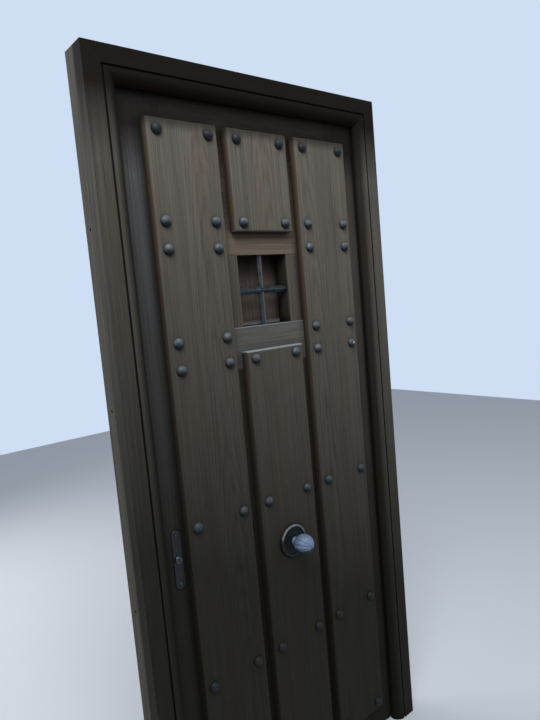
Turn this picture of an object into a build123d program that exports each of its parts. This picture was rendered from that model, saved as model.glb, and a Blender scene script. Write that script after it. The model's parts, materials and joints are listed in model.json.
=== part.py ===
from build123d import *
from dataclasses import dataclass
from math import sqrt
import os

os.makedirs("parts", exist_ok=True)

# A studded plank door that opens inwards, in its moulded timber frame.
# X runs across the door, Y from outdoors to indoors, Z up. All sizes are in millimetres.
# A depth is measured indoors from the faces of the facing planks.
# A drop is measured down from the top row of studs.

# Facing planks
plank_width = 210.0
plank_gap = 34.0
plank_thickness = 26.0
plank_arris = 5.0
plank_end_margin = 28.0       # from a plank's end to its nearest row of studs
window_end_margin = 23.0      # the same, at the two plank ends beside the window
upper_plank_length = 276.0    # short plank above the window
sight_margin = 64.0           # bare leaf between the planks and the frame, at the sides and the top
bottom_margin = 90.0          # bare leaf below the planks

# Leaf behind the planks
leaf_thickness = 54.0
leaf_height = 2079.0
floor_gap = 10.0
overlap = 13.0                # how far the leaf reaches behind the frame's stop
edge_gap = 3.0                # between the leaf's edge and the frame's rebate
stile_width = 136.0
top_rail_height = 145.0
bottom_rail_height = 174.0
narrow_rail_height = 100.0
panel_thickness = 24.0
panel_field_rise = 10.0
panel_field_margin = 21.0     # from the panel's edge to the foot of the field's slope
panel_field_slope = 45.0
tongue = 11.6
groove_depth = 12.0
tongue_thickness = 10.0
tongue_depth = 36.0
tenon_thickness = 18.0
tenon_depth = 46.0
tenon_shoulder = 15.0
tenon_cover = 15.0            # timber left between a blind tenon's end and the leaf's edge
joint_gap = 0.2               # glue line between timbers, and between metal and its recess

# Window
window_width = 182.0
window_height = 202.0
window_head_margin = 15.0     # from the row of studs above the window to its edge
window_sill_margin = 21.0     # from the window's edge to the row of studs below it
window_rail_margin = 24.0     # from the far row of studs to the far edge of a window rail
muntin_width = 84.0
bar_side = 14.5
bar_depth = 43.0
bar_socket = 15.0
eye_radius = 15.0
eye_height = 24.0
eye_rounding = 6.0

# Studs
stud_radius = 15.0
stud_height = 12.5
stud_shank = 6.0
stud_shank_length = 42.0
stud_pair = 152.0             # across each plank
window_row_pair = 70.0        # between the two rows of studs on a window rail
row_f_drop = 1021.0
row_g_drop = 1469.0

# Frame
frame_face = 83.0
frame_front = -8.0
moulding_start = 13.0         # depth where the ovolo meets the return
ovolo_width = 33.0
quirk_width = 5.0
quirk_depth = 6.0
frame_arris = 1.5             # rounding of the corners that meet the weather
frame_tenon_width = 26.0
fixing_radius = 4.0
fixing_sink_radius = 8.0
fixing_sink_depth = 12.0
fixing_span_outer = 1400.0
fixing_span_inner = 520.0

# Clearances between pieces that move past each other
body_gap = 0.3
pin_gap = 0.05

# Leaf hinges
hinge_height = 120.0
hinge_end_distance = 180.0    # from the leaf's ends to the middle of the outer hinges
hinge_flap_width = 35.0
hinge_flap = 2.5
hinge_knuckle_radius = 7.0
hinge_pin_radius = 3.5
hinge_pin_tip_radius = 5.0
pin_tip_taper = 30.0

# Hatch behind the window
hatch_lap = 18.0
hatch_thickness = 18.0
hatch_bevel = 3.0
hatch_hinge_height = 42.0
hatch_hinge_span = 130.0
hatch_flap_width = 22.0
hatch_flap = 1.6
hatch_knuckle_radius = 4.0
hatch_pin_radius = 1.8
hatch_pin_tip_radius = 2.8
hatch_knob_radius = 10.0
hatch_knob_foot = 7.0
hatch_knob_waist = 4.5
hatch_knob_reach = 22.0
hatch_knob_inset = 26.0
hatch_knob_rise = 25.0
button_radius = 9.0
button_tip_radius = 6.3
button_length = 46.0
button_thickness = 6.0
button_edge_gap = 3.0         # between the turn button at rest and the hatch's edge
button_drop = 40.0
button_screw_radius = 2.5
button_screw_head = 6.0

# Pull knob
knob_drop = 1163.0
rosette_radius = 48.0
rosette_thickness = 3.0
rosette_bead = 4.5
neck_radius = 12.5            # of the bead between the ball and the rosette
ball_radius = 30.0
ball_reach = 50.0             # from the plank's face to the ball's centre
flute_count = 12
flute_radius = 4.0
flute_depth = 2.5
flute_offset = 3.0            # lets each flute run out before the ball's pole
neck_waist_radius = 9.5
neck_waist_length = 1.5       # bare waist between the ball and the bead
knob_rod_radius = 5.0
knob_rod_seat = 24.0
washer_radius = 15.0
washer_thickness = 2.5
nut_across_corners = 19.0
nut_height = 8.0

# Lock
lock_drop = 1096.0            # to the cylinder's axis
backset = 51.0                # from the leaf's edge to the cylinder's axis
case_length = 78.0
case_wall = 1.6
case_thickness = 16.0
case_below = 34.0
case_above = 32.0
faceplate_height = 110.0
faceplate_width = 24.0
faceplate_thickness = 3.0
bolt_thickness = 12.0
bolt_height = 22.0
bolt_rise = 14.0              # bolt's middle above the cylinder's axis
bolt_throw = 20.0
bolt_head_length = 28.0
bolt_tail = 4.0
crank_pin_radius = 3.0
crank_hub_radius = 6.5
crank_thickness = 3.0
crank_side_gap = 0.6
escutcheon_width = 28.0
escutcheon_height = 160.0
escutcheon_thickness = 3.0
escutcheon_rim = 1.0
cylinder_radius = 10.5
cylinder_reach = 5.0          # stands out of the outer escutcheon
cylinder_rim = 1.3
plug_radius = 6.5
keyway_width = 2.2
keyway_height = 9.0
keyway_depth = 20.0
spindle_radius = 4.0
spindle_way = 1.0             # free space round the spindle where it passes through the timber
turn_rose_radius = 14.0
turn_rose_height = 6.0
turn_grip_length = 30.0
turn_grip_width = 9.0
turn_grip_height = 16.0
turn_grip_rim = 1.8
strike_height = 70.0
strike_width = 30.0
strike_thickness = 2.5
strike_play = 1.5

# Inside pull
pull_reach = 45.0
pull_length = 130.0
pull_bar_radius = 6.0
pull_foot_radius = 13.0
pull_foot_thickness = 4.0
pull_bend = 18.0
pull_rise = 206.0             # middle of the pull above the cylinder's axis

# Places worked out from the sizes above
leaf_front = plank_thickness
leaf_back = leaf_front + leaf_thickness
front_reach = ball_reach + ball_radius
back_reach = leaf_back + pull_reach
face_y = (front_reach - back_reach) / 2
plank_pitch = plank_width + plank_gap
sight_half = (3 * plank_width + 2 * plank_gap) / 2 + sight_margin
leaf_half = sight_half + overlap
leaf_top = floor_gap + leaf_height
sight_top = leaf_top - overlap
stile_inner = leaf_half - stile_width
plank_top = sight_top - sight_margin
plank_bottom = floor_gap + bottom_margin
row_a = plank_top - plank_end_margin
stop_depth = leaf_front - body_gap
rebate = overlap + edge_gap
frame_half = sight_half + frame_face
frame_top = sight_top + frame_face
upper_plank_bottom = plank_top - upper_plank_length
row_b = upper_plank_bottom + window_end_margin
row_c = row_b - window_row_pair
window_top = row_c - window_head_margin
window_bottom = window_top - window_height
window_z = (window_top + window_bottom) / 2
window_half = window_width / 2
muntin_outer = window_half + muntin_width
row_d = window_bottom - window_sill_margin
row_e = row_d - window_row_pair
lower_plank_top = row_e + window_end_margin
row_f = row_a - row_f_drop
row_g = row_a - row_g_drop
row_h = plank_bottom + plank_end_margin
lock_x = -leaf_half + backset
lock_z = row_a - lock_drop
knob_z = row_a - knob_drop
case_mid = leaf_front + leaf_thickness / 2
case_left = -leaf_half + faceplate_thickness
case_right = case_left + case_length
case_bottom = lock_z - case_below
case_top = lock_z + case_above
case_near = case_mid - case_thickness / 2
case_far = case_mid + case_thickness / 2

# Rails by name, each with its bottom and its top
rails = {
    "top_rail": (leaf_top - top_rail_height, leaf_top),
    "window_head_rail": (window_top, row_b + window_rail_margin),
    "window_sill_rail": (row_e - window_rail_margin, window_bottom),
    "mid_rail": (row_f - narrow_rail_height / 2, row_f + narrow_rail_height / 2),
    "lower_rail": (row_g - narrow_rail_height / 2, row_g + narrow_rail_height / 2),
    "bottom_rail": (floor_gap, floor_gap + bottom_rail_height),
}

# Panels by name, each with its left, right, bottom and top between the timbers round it
panels = {
    "top_panel": (-stile_inner, stile_inner, rails["window_head_rail"][1], rails["top_rail"][0]),
    "window_panel_left": (-stile_inner, -muntin_outer, window_bottom, window_top),
    "window_panel_right": (muntin_outer, stile_inner, window_bottom, window_top),
    "upper_panel": (-stile_inner, stile_inner, rails["mid_rail"][1], rails["window_sill_rail"][0]),
    "middle_panel": (-stile_inner, stile_inner, rails["lower_rail"][1], rails["mid_rail"][0]),
    "lower_panel": (-stile_inner, stile_inner, rails["bottom_rail"][1], rails["lower_rail"][0]),
}

# Planks by name: middle, bottom, top and the heights of their rows of studs
long_rows = (row_a, row_b, row_c, row_d, row_e, row_f, row_g, row_h)
planks = {
    "left": (-plank_pitch, plank_bottom, plank_top, long_rows),
    "right": (plank_pitch, plank_bottom, plank_top, long_rows),
    "upper_centre": (0.0, upper_plank_bottom, plank_top, (row_a, row_b)),
    "lower_centre": (0.0, plank_bottom, lower_plank_top, (row_e, row_f, row_g, row_h)),
}


def front(depth):
    """Upright plane at a depth, facing outdoors."""
    return Plane.XZ.offset(-face_y - depth)


def save(sub_part, name):
    """Labels a finished sub-part and writes it."""
    sub_part.part.label = name
    export_step(sub_part.part, f"parts/{name}.step")


def slab(x_low, x_high, z_low, z_high, near, far, mode=Mode.ADD):
    """Straight block between two depths."""
    with BuildSketch(front(far)) as outline:
        with Locations(((x_low + x_high) / 2, (z_low + z_high) / 2)):
            Rectangle(x_high - x_low, z_high - z_low)
    extrude(outline.sketch, amount=far - near, mode=mode)


def disc(x, z, radius, near, far, mode=Mode.ADD):
    """Round boss or bore along Y between two depths."""
    with BuildSketch(front(far)) as outline:
        with Locations((x, z)):
            Circle(radius)
    extrude(outline.sketch, amount=far - near, mode=mode)


def stud_places(name):
    """Middles of the studs on one plank, as (x, z)."""
    middle, _, _, rows = planks[name]
    return [(middle + side * stud_pair / 2, z) for z in rows for side in (-1, 1)]


all_studs = [place for name in planks for place in stud_places(name)]


def stud_holes(x_low, x_high, z_low, z_high, near, far):
    """Square holes for the shanks of the studs that stand over one timber."""
    places = [(x, z) for x, z in all_studs if x_low < x < x_high and z_low < z < z_high]
    if places:
        with BuildSketch(front(far)) as holes:
            with Locations(*places):
                Rectangle(stud_shank + joint_gap, stud_shank + joint_gap)
        extrude(holes.sketch, amount=far - near, mode=Mode.SUBTRACT)


def groove(x_low, x_high, z_low, z_high):
    """Panel groove within the given limits, a little wider than the tongue in it."""
    slab(x_low, x_high, z_low, z_high, tongue_depth - joint_gap,
         tongue_depth + tongue_thickness + joint_gap, Mode.SUBTRACT)


# Frame

def frame_section(plane, place):
    """Section of the frame; place turns (offset from the sight edge, depth) into sketch coordinates."""
    quirk_inner = ovolo_width
    quirk_outer = ovolo_width + quirk_width
    quirk_bottom = frame_front + quirk_depth
    ovolo_rise = moulding_start - frame_front
    ovolo_radius = (ovolo_width ** 2 + ovolo_rise ** 2) / (2 * ovolo_rise)
    half_width = ovolo_width / 2
    crown = (half_width, frame_front + ovolo_radius - sqrt(ovolo_radius ** 2 - half_width ** 2))
    arrises = [(0, moulding_start), (quirk_inner, frame_front), (quirk_outer, frame_front),
               (frame_face, frame_front)]
    with BuildSketch(plane) as section:
        with BuildLine():
            ThreePointArc(place(0, moulding_start), place(*crown), place(quirk_inner, frame_front))
            Polyline(
                place(quirk_inner, frame_front),
                place(quirk_inner, quirk_bottom),
                place(quirk_outer, quirk_bottom),
                place(quirk_outer, frame_front),
                place(frame_face, frame_front),
                place(frame_face, leaf_back),
                place(rebate, leaf_back),
                place(rebate, stop_depth),
                place(0, stop_depth),
                place(0, moulding_start),
            )
        make_face()
        fillet([section.vertices().sort_by_distance(place(*corner))[0] for corner in arrises], frame_arris)
    return section.sketch


frame_tenon_inner = (rebate + frame_face - frame_tenon_width) / 2


def frame_tenon(side, gap, mode):
    """Tenon from a jamb up through the head, or its mortise when gap is added."""
    x_inner = sight_half + frame_tenon_inner - gap
    x_outer = sight_half + frame_tenon_inner + frame_tenon_width + gap
    x_low, x_high = sorted((side * x_inner, side * x_outer))
    slab(x_low, x_high, sight_top + frame_tenon_inner - gap, frame_top,
         tenon_depth - gap, tenon_depth + tenon_thickness + gap, mode)


def fixing_holes(side):
    """Counterbored holes for the screws that fix a jamb to the wall, opened from the rebate."""
    middle = leaf_top / 2
    spans = (fixing_span_outer, fixing_span_inner)
    heights = [middle + sign * span / 2 for span in spans for sign in (-1, 1)]
    rebate_plane = Plane(origin=(side * (sight_half + rebate), face_y + case_mid, 0), x_dir=(0, 1, 0),
                         z_dir=(side, 0, 0))
    for radius, length in ((fixing_radius, frame_face), (fixing_sink_radius, fixing_sink_depth)):
        with BuildSketch(rebate_plane) as holes:
            with Locations(*[(0, side * z) for z in heights]):
                Circle(radius)
        extrude(holes.sketch, amount=length, mode=Mode.SUBTRACT)


@dataclass
class Hinge:
    """A butt hinge with an upright pin; x and depth place the pin's axis."""
    x: float
    depth: float
    height: float
    knuckles: int
    radius: float
    pin: float


leaf_hinge = Hinge(leaf_half + edge_gap / 2, leaf_back + hinge_knuckle_radius + body_gap, hinge_height, 5,
                   hinge_knuckle_radius, hinge_pin_radius)
hatch_half = window_half + hatch_lap
hatch_front = leaf_back + body_gap
hatch_back = hatch_front + hatch_thickness
hatch_hinge = Hinge(hatch_half + hatch_knuckle_radius + body_gap,
                    leaf_back + hatch_knuckle_radius + body_gap, hatch_hinge_height, 3,
                    hatch_knuckle_radius, hatch_pin_radius)
button_x = -hatch_half - button_radius - button_edge_gap
button_z = window_z - button_drop
button_near = hatch_back + body_gap
button_far = button_near + button_thickness
hinge_heights = (floor_gap + hinge_end_distance, (floor_gap + leaf_top) / 2, leaf_top - hinge_end_distance)
hatch_hinge_heights = (window_z - hatch_hinge_span / 2, window_z + hatch_hinge_span / 2)


def upright(hinge, radius, z, length, taper=0, mode=Mode.ADD):
    """Round piece or bore on a hinge's axis, from height z."""
    with BuildSketch(Plane.XY.offset(z)) as outline:
        with Locations((hinge.x, face_y + hinge.depth)):
            Circle(radius)
    extrude(outline.sketch, amount=length, taper=taper, mode=mode)


def hinge_half(hinge, z_mid, own, plate, bridge):
    """Flap plate with its own knuckles, each bridged to the plate; own is 0 or 1, the first knuckle."""
    z_low = z_mid - hinge.height / 2
    step = hinge.height / hinge.knuckles
    slab(plate[0], plate[1], z_low, z_low + hinge.height, plate[2], plate[3])
    for k in range(own, hinge.knuckles, 2):
        low = z_low + k * step + body_gap / 2
        high = low + step - body_gap
        slab(bridge[0], bridge[1], low, high, bridge[2], bridge[3])
        upright(hinge, hinge.radius, low, high - low)
    upright(hinge, hinge.pin + pin_gap, z_low, hinge.height, mode=Mode.SUBTRACT)


def hinge_pins(hinge, heights, tip_radius):
    """Pins with a round tip above and below the knuckles."""
    for z_mid in heights:
        upright(hinge, hinge.pin, z_mid - hinge.height / 2, hinge.height)
        for side in (-1, 1):
            upright(hinge, tip_radius, z_mid + side * hinge.height / 2, side * tip_radius,
                    taper=pin_tip_taper)


def hinge_recesses(x_low, x_high, near, far):
    """Gains for the hinge flaps, cut flush with the timber's back."""
    for z_mid in hinge_heights:
        slab(x_low, x_high, z_mid - hinge_height / 2 - joint_gap, z_mid + hinge_height / 2 + joint_gap,
             near, far, Mode.SUBTRACT)


bolt_z = lock_z + bolt_rise
strike_x = -(sight_half + rebate)

for side, name in ((-1, "jamb_left"), (1, "jamb_right")):
    with BuildPart() as jamb:
        section = frame_section(Plane.XY,
                                lambda offset, depth: (side * (sight_half + offset), face_y + depth))
        extrude(section, amount=frame_top)
        split(bisect_by=Plane(origin=(side * sight_half, 0, sight_top), z_dir=(side, 0, -1)), keep=Keep.TOP)
        frame_tenon(side, 0, Mode.ADD)
        fixing_holes(side)
        if side > 0:
            rebate_face = sight_half + rebate
            hinge_recesses(rebate_face, rebate_face + hinge_flap, leaf_back - hinge_flap_width - joint_gap,
                           leaf_back)
        else:
            slab(strike_x - strike_thickness, strike_x, bolt_z - strike_height / 2 - joint_gap,
                 bolt_z + strike_height / 2 + joint_gap, case_mid - strike_width / 2 - joint_gap,
                 case_mid + strike_width / 2 + joint_gap, Mode.SUBTRACT)
            slab(strike_x - bolt_throw - edge_gap, strike_x, bolt_z - bolt_height / 2 - edge_gap,
                 bolt_z + bolt_height / 2 + edge_gap, case_mid - bolt_thickness / 2 - edge_gap,
                 case_mid + bolt_thickness / 2 + edge_gap, Mode.SUBTRACT)
    save(jamb, name)

with BuildPart() as head:
    section = frame_section(Plane.YZ.offset(-frame_half),
                            lambda offset, depth: (face_y + depth, sight_top + offset))
    extrude(section, amount=2 * frame_half)
    for side in (-1, 1):
        split(bisect_by=Plane(origin=(side * sight_half, 0, sight_top), z_dir=(-side, 0, 1)), keep=Keep.TOP)
        frame_tenon(side, joint_gap, Mode.SUBTRACT)
save(head, "head")

with BuildPart() as strike_plate:
    slab(strike_x - strike_thickness, strike_x, bolt_z - strike_height / 2, bolt_z + strike_height / 2,
         case_mid - strike_width / 2, case_mid + strike_width / 2)
    slab(strike_x - strike_thickness, strike_x, bolt_z - bolt_height / 2 - strike_play,
         bolt_z + bolt_height / 2 + strike_play, case_mid - bolt_thickness / 2 - strike_play,
         case_mid + bolt_thickness / 2 + strike_play, Mode.SUBTRACT)
save(strike_plate, "strike_plate")

for number, z_mid in enumerate(hinge_heights, 1):
    with BuildPart() as frame_flap:
        x_low = sight_half + rebate
        x_high = x_low + hinge_flap
        hinge_half(leaf_hinge, z_mid, 0, (x_low, x_high, leaf_back - hinge_flap_width, leaf_back),
                   (x_low, x_high, leaf_back, leaf_hinge.depth))
    save(frame_flap, f"hinge_frame_flap_{number}")
    with BuildPart() as leaf_flap:
        x_low = leaf_half - hinge_flap
        hinge_half(leaf_hinge, z_mid, 1, (x_low, leaf_half, leaf_back - hinge_flap_width, leaf_back),
                   (x_low, leaf_half, leaf_back, leaf_hinge.depth))
    save(leaf_flap, f"hinge_leaf_flap_{number}")

with BuildPart() as pins:
    hinge_pins(leaf_hinge, hinge_heights, hinge_pin_tip_radius)
save(pins, "hinge_pins")

# Leaf timbers

def tenon(x_low, x_high, rail, gap, mode):
    """Tenon or mortise at one end of a rail."""
    bottom, top = rail
    slab(x_low, x_high, bottom + tenon_shoulder - gap, top - tenon_shoulder + gap,
         tenon_depth - gap, tenon_depth + tenon_thickness + gap, mode)


def lock_mortise():
    """Pocket for the lock case and its faceplate, with the bores for the cylinder and the spindle."""
    slab(-leaf_half, case_left, lock_z - faceplate_height / 2 - joint_gap,
         lock_z + faceplate_height / 2 + joint_gap, case_mid - faceplate_width / 2 - joint_gap,
         case_mid + faceplate_width / 2 + joint_gap, Mode.SUBTRACT)
    slab(-leaf_half, case_right + joint_gap, case_bottom - joint_gap, case_top + joint_gap,
         case_near - joint_gap, case_far + joint_gap, Mode.SUBTRACT)
    disc(lock_x, lock_z, cylinder_radius + joint_gap, leaf_front, case_mid, Mode.SUBTRACT)
    disc(lock_x, lock_z, spindle_radius + spindle_way, case_mid, leaf_back, Mode.SUBTRACT)


tenon_end = leaf_half - tenon_cover
shank_end = stud_shank_length + joint_gap

for side, name in ((-1, "lock_stile"), (1, "hinge_stile")):
    with BuildPart() as stile:
        x_low, x_high = sorted((side * stile_inner, side * leaf_half))
        slab(x_low, x_high, floor_gap, leaf_top, leaf_front, leaf_back)
        pocket = sorted((side * stile_inner, side * (tenon_end + joint_gap)))
        for rail in rails.values():
            tenon(*pocket, rail, joint_gap, Mode.SUBTRACT)
        channel = sorted((side * stile_inner, side * (stile_inner + groove_depth)))
        for left, right, bottom, top in panels.values():
            if side * stile_inner in (left, right):
                groove(*channel, bottom - groove_depth, top + groove_depth)
        stud_holes(x_low, x_high, floor_gap, leaf_top, leaf_front, shank_end)
        if side > 0:
            hinge_recesses(leaf_half - hinge_flap, leaf_half, leaf_back - hinge_flap_width - joint_gap,
                           leaf_back)
        else:
            lock_mortise()
    save(stile, name)

for name, rail in rails.items():
    with BuildPart() as rail_part:
        bottom, top = rail
        slab(-stile_inner, stile_inner, bottom, top, leaf_front, leaf_back)
        tenon(-tenon_end, tenon_end, rail, 0, Mode.ADD)
        for left, right, low, high in panels.values():
            if high == bottom:
                groove(left, right, bottom, bottom + groove_depth)
            if low == top:
                groove(left, right, top - groove_depth, top)
        window_edge = {"window_head_rail": (bottom, bottom + groove_depth),
                       "window_sill_rail": (top - groove_depth, top)}.get(name)
        if window_edge:
            for side in (-1, 1):
                groove(*sorted((side * (window_half + tongue_thickness), side * muntin_outer)), *window_edge)
            with BuildSketch(Plane.XY.offset(window_z)):
                with Locations((0, face_y + bar_depth)):
                    Rectangle(bar_side + joint_gap, bar_side + joint_gap, rotation=45)
            direction = 1 if name == "window_head_rail" else -1
            extrude(amount=direction * (window_height / 2 + bar_socket), mode=Mode.SUBTRACT)
        stud_holes(-stile_inner, stile_inner, bottom, top, leaf_front, shank_end)
        if bottom < case_top and case_bottom < top:
            lock_mortise()
    save(rail_part, name)

for side, name in ((-1, "window_muntin_left"), (1, "window_muntin_right")):
    with BuildPart() as muntin:
        x_low, x_high = sorted((side * window_half, side * muntin_outer))
        slab(x_low, x_high, window_bottom, window_top, leaf_front, leaf_back)
        x_low, x_high = sorted((side * (window_half + tongue_thickness),
                                side * (muntin_outer - groove_depth - joint_gap)))
        slab(x_low, x_high, window_bottom - tongue, window_top + tongue, tongue_depth,
             tongue_depth + tongue_thickness)
        x_low, x_high = sorted((side * (muntin_outer - groove_depth), side * muntin_outer))
        groove(x_low, x_high, window_bottom, window_top)
        with BuildSketch(Plane.YZ):
            with Locations((face_y + bar_depth, window_z)):
                Rectangle(bar_side + joint_gap, bar_side + joint_gap, rotation=45)
        extrude(amount=side * (window_half + bar_socket), mode=Mode.SUBTRACT)
        if side < 0:
            disc(button_x, button_z, button_screw_radius + joint_gap, case_mid - joint_gap, leaf_back,
                 Mode.SUBTRACT)
    save(muntin, name)

for name, (left, right, bottom, top) in panels.items():
    with BuildPart() as panel:
        slab(left + joint_gap, right - joint_gap, bottom + joint_gap, top - joint_gap, leaf_front,
             leaf_front + panel_thickness)
        slab(left - tongue, right + tongue, bottom - tongue, top + tongue, tongue_depth,
             tongue_depth + tongue_thickness)
        with BuildSketch(front(leaf_front + panel_thickness)):
            with Locations(((left + right) / 2, (bottom + top) / 2)):
                Rectangle(right - left - 2 * panel_field_margin, top - bottom - 2 * panel_field_margin)
        extrude(amount=-panel_field_rise, taper=panel_field_slope)
        if bottom < knob_z < top:
            disc(0, knob_z, knob_rod_radius + joint_gap, leaf_front, leaf_back, Mode.SUBTRACT)
    save(panel, name)

# Facing planks and their studs

for name, (middle, bottom, top, rows) in planks.items():
    with BuildPart() as plank:
        x_low = middle - plank_width / 2
        x_high = middle + plank_width / 2
        slab(x_low, x_high, bottom, top, 0, plank_thickness)
        fillet(plank.faces().sort_by(Axis.Y)[0].edges(), plank_arris)
        stud_holes(x_low, x_high, bottom, top, 0, plank_thickness)
        if bottom < knob_z < top and middle == 0:
            disc(0, knob_z, knob_rod_radius + joint_gap, 0, plank_thickness, Mode.SUBTRACT)
    save(plank, f"plank_{name}")

with BuildPart() as stud:
    with BuildSketch(Plane.XY):
        with BuildLine():
            dome_radius = (stud_radius ** 2 + stud_height ** 2) / (2 * stud_height)
            half_way = dome_radius - sqrt(dome_radius ** 2 - stud_radius ** 2 / 4)
            ThreePointArc((stud_radius, 0), (stud_radius / 2, half_way - stud_height), (0, -stud_height))
            Polyline((0, -stud_height), (0, 0), (stud_radius, 0))
        make_face()
    revolve(axis=Axis.Y)
    with BuildSketch(Plane.XZ):
        Rectangle(stud_shank, stud_shank)
    extrude(amount=-stud_shank_length)

for name in planks:
    with BuildPart() as studs:
        with Locations(*[(x, face_y, z) for x, z in stud_places(name)]):
            add(stud.part)
    save(studs, f"studs_{name}")

# Window grille

with BuildPart() as grille_upright:
    with BuildSketch(Plane.XY.offset(window_bottom - bar_socket)):
        with Locations((0, face_y + bar_depth)):
            Rectangle(bar_side, bar_side, rotation=45)
    extrude(amount=window_height + 2 * bar_socket)
save(grille_upright, "grille_upright")

with BuildPart() as grille_crossbar:
    with BuildSketch(Plane.YZ.offset(-window_half - bar_socket)):
        with Locations((face_y + bar_depth, window_z)):
            Rectangle(bar_side, bar_side, rotation=45)
    extrude(amount=window_width + 2 * bar_socket)
    with BuildSketch(Plane.XY.offset(window_z - eye_height / 2)):
        with Locations((0, face_y + bar_depth)):
            Circle(eye_radius)
    extrude(amount=eye_height)
    fillet(grille_crossbar.edges().filter_by(GeomType.CIRCLE), eye_rounding)
    with BuildSketch(Plane.XY.offset(window_z - eye_height)):
        with Locations((0, face_y + bar_depth)):
            Rectangle(bar_side + joint_gap, bar_side + joint_gap, rotation=45)
    extrude(amount=2 * eye_height, mode=Mode.SUBTRACT)
save(grille_crossbar, "grille_crossbar")

# Pull knob

with BuildPart() as knob_rosette:
    with BuildSketch(Plane.XY.offset(knob_z)):
        with BuildLine():
            Polyline((knob_rod_radius + joint_gap, face_y), (rosette_radius, face_y),
                     (rosette_radius, face_y - rosette_bead))
            ThreePointArc((rosette_radius, face_y - rosette_bead),
                          (rosette_radius - rosette_bead, face_y - 2 * rosette_bead),
                          (rosette_radius - 2 * rosette_bead, face_y - rosette_bead))
            ThreePointArc((rosette_radius - 2 * rosette_bead, face_y - rosette_bead),
                          ((rosette_radius + neck_radius) / 2 - rosette_bead, face_y - rosette_thickness),
                          (neck_radius + rosette_bead, face_y - rosette_bead))
            Polyline((neck_radius + rosette_bead, face_y - rosette_bead),
                     (knob_rod_radius + joint_gap, face_y - rosette_bead),
                     (knob_rod_radius + joint_gap, face_y))
        make_face()
    revolve(axis=Axis((0, 0, knob_z), (0, 1, 0)))
save(knob_rosette, "knob_rosette")

ball_y = face_y - ball_reach
knob_plane = Plane(origin=(0, ball_y, knob_z), x_dir=(1, 0, 0), z_dir=(0, -1, 0))
seat_y = face_y - rosette_bead

with BuildPart() as ball:
    Sphere(ball_radius, rotation=(0, 0, 180 / flute_count))
    for k in range(flute_count):
        with Locations(Rotation(0, 0, k * 360 / flute_count) * Pos(flute_offset)):
            Torus(ball_radius - flute_depth + flute_radius + flute_offset, flute_radius, rotation=(90, 0, 0),
                  mode=Mode.SUBTRACT)

with BuildPart() as pull_knob:
    with Locations(knob_plane.location):
        add(ball.part)
    with BuildSketch(Plane.XY.offset(knob_z)):
        with BuildLine():
            waist_y = ball_y + ball_radius + neck_waist_length
            ThreePointArc((neck_waist_radius, waist_y), (neck_radius, (waist_y + seat_y) / 2),
                          (neck_waist_radius, seat_y))
            Polyline((neck_waist_radius, seat_y), (0, seat_y), (0, ball_y), (neck_waist_radius, ball_y),
                     (neck_waist_radius, waist_y))
        make_face()
    revolve(axis=Axis((0, 0, knob_z), (0, 1, 0)))
    disc(0, knob_z, knob_rod_radius + joint_gap, -knob_rod_seat, 0, Mode.SUBTRACT)
save(pull_knob, "pull_knob")

panel_back = leaf_front + panel_thickness + panel_field_rise
washer_back = panel_back + washer_thickness

with BuildPart() as knob_rod:
    disc(0, knob_z, knob_rod_radius, -knob_rod_seat, washer_back + nut_height + knob_rod_radius)
save(knob_rod, "knob_rod")

with BuildPart() as knob_nut:
    disc(0, knob_z, washer_radius, panel_back, washer_back)
    with BuildSketch(front(washer_back + nut_height)):
        with Locations((0, knob_z)):
            RegularPolygon(nut_across_corners / 2, 6)
    extrude(amount=nut_height)
    disc(0, knob_z, knob_rod_radius + pin_gap, panel_back, washer_back + nut_height, Mode.SUBTRACT)
save(knob_nut, "knob_nut")

# Lock

bolt_bottom = bolt_z - bolt_height / 2
bolt_top = bolt_z + bolt_height / 2
bolt_near = case_mid - bolt_thickness / 2
bolt_far = case_mid + bolt_thickness / 2
crank_step = bolt_throw / 2
crank_near = case_mid + bolt_tail / 2 + crank_side_gap
pin_play = crank_pin_radius + crank_side_gap


def bolt_way(x_low, x_high, play):
    """Opening that the deadbolt slides through."""
    slab(x_low, x_high, bolt_bottom - play, bolt_top + play, bolt_near - play, bolt_far + play, Mode.SUBTRACT)


with BuildPart() as lock_case:
    slab(case_left, case_right, case_bottom, case_top, case_near, case_far - case_wall)
    slab(case_left + case_wall, case_right - case_wall, case_bottom + case_wall, case_top - case_wall,
         case_near + case_wall, case_far - case_wall, Mode.SUBTRACT)
    bolt_way(case_left, case_left + case_wall, body_gap)
    disc(lock_x, lock_z, spindle_radius + pin_gap, case_near, case_near + case_wall, Mode.SUBTRACT)
save(lock_case, "lock_case")

with BuildPart() as lock_cover:
    slab(case_left, case_right, case_bottom, case_top, case_far - case_wall, case_far)
    disc(lock_x, lock_z, spindle_radius + pin_gap, case_far - case_wall, case_far, Mode.SUBTRACT)
save(lock_cover, "lock_cover")

with BuildPart() as lock_faceplate:
    slab(-leaf_half, case_left, lock_z - faceplate_height / 2, lock_z + faceplate_height / 2,
         case_mid - faceplate_width / 2, case_mid + faceplate_width / 2)
    bolt_way(-leaf_half, case_left, body_gap)
save(lock_faceplate, "lock_faceplate")

with BuildPart() as deadbolt:
    slab(-leaf_half, -leaf_half + bolt_head_length, bolt_bottom, bolt_top, bolt_near, bolt_far)
    tail_bottom = lock_z + crank_hub_radius + crank_side_gap
    notch_top = lock_z + crank_step * sqrt(2) + pin_play
    tail_end = lock_x + crank_step + pin_play + crank_pin_radius
    slab(-leaf_half + bolt_head_length, tail_end, tail_bottom, bolt_top - crank_side_gap,
         case_mid - bolt_tail / 2, case_mid + bolt_tail / 2)
    slab(lock_x + crank_step - pin_play, lock_x + crank_step + pin_play, tail_bottom, notch_top,
         case_mid - bolt_tail / 2, case_mid + bolt_tail / 2, Mode.SUBTRACT)
save(deadbolt, "deadbolt")

escutcheon_front = leaf_front - escutcheon_thickness


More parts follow.
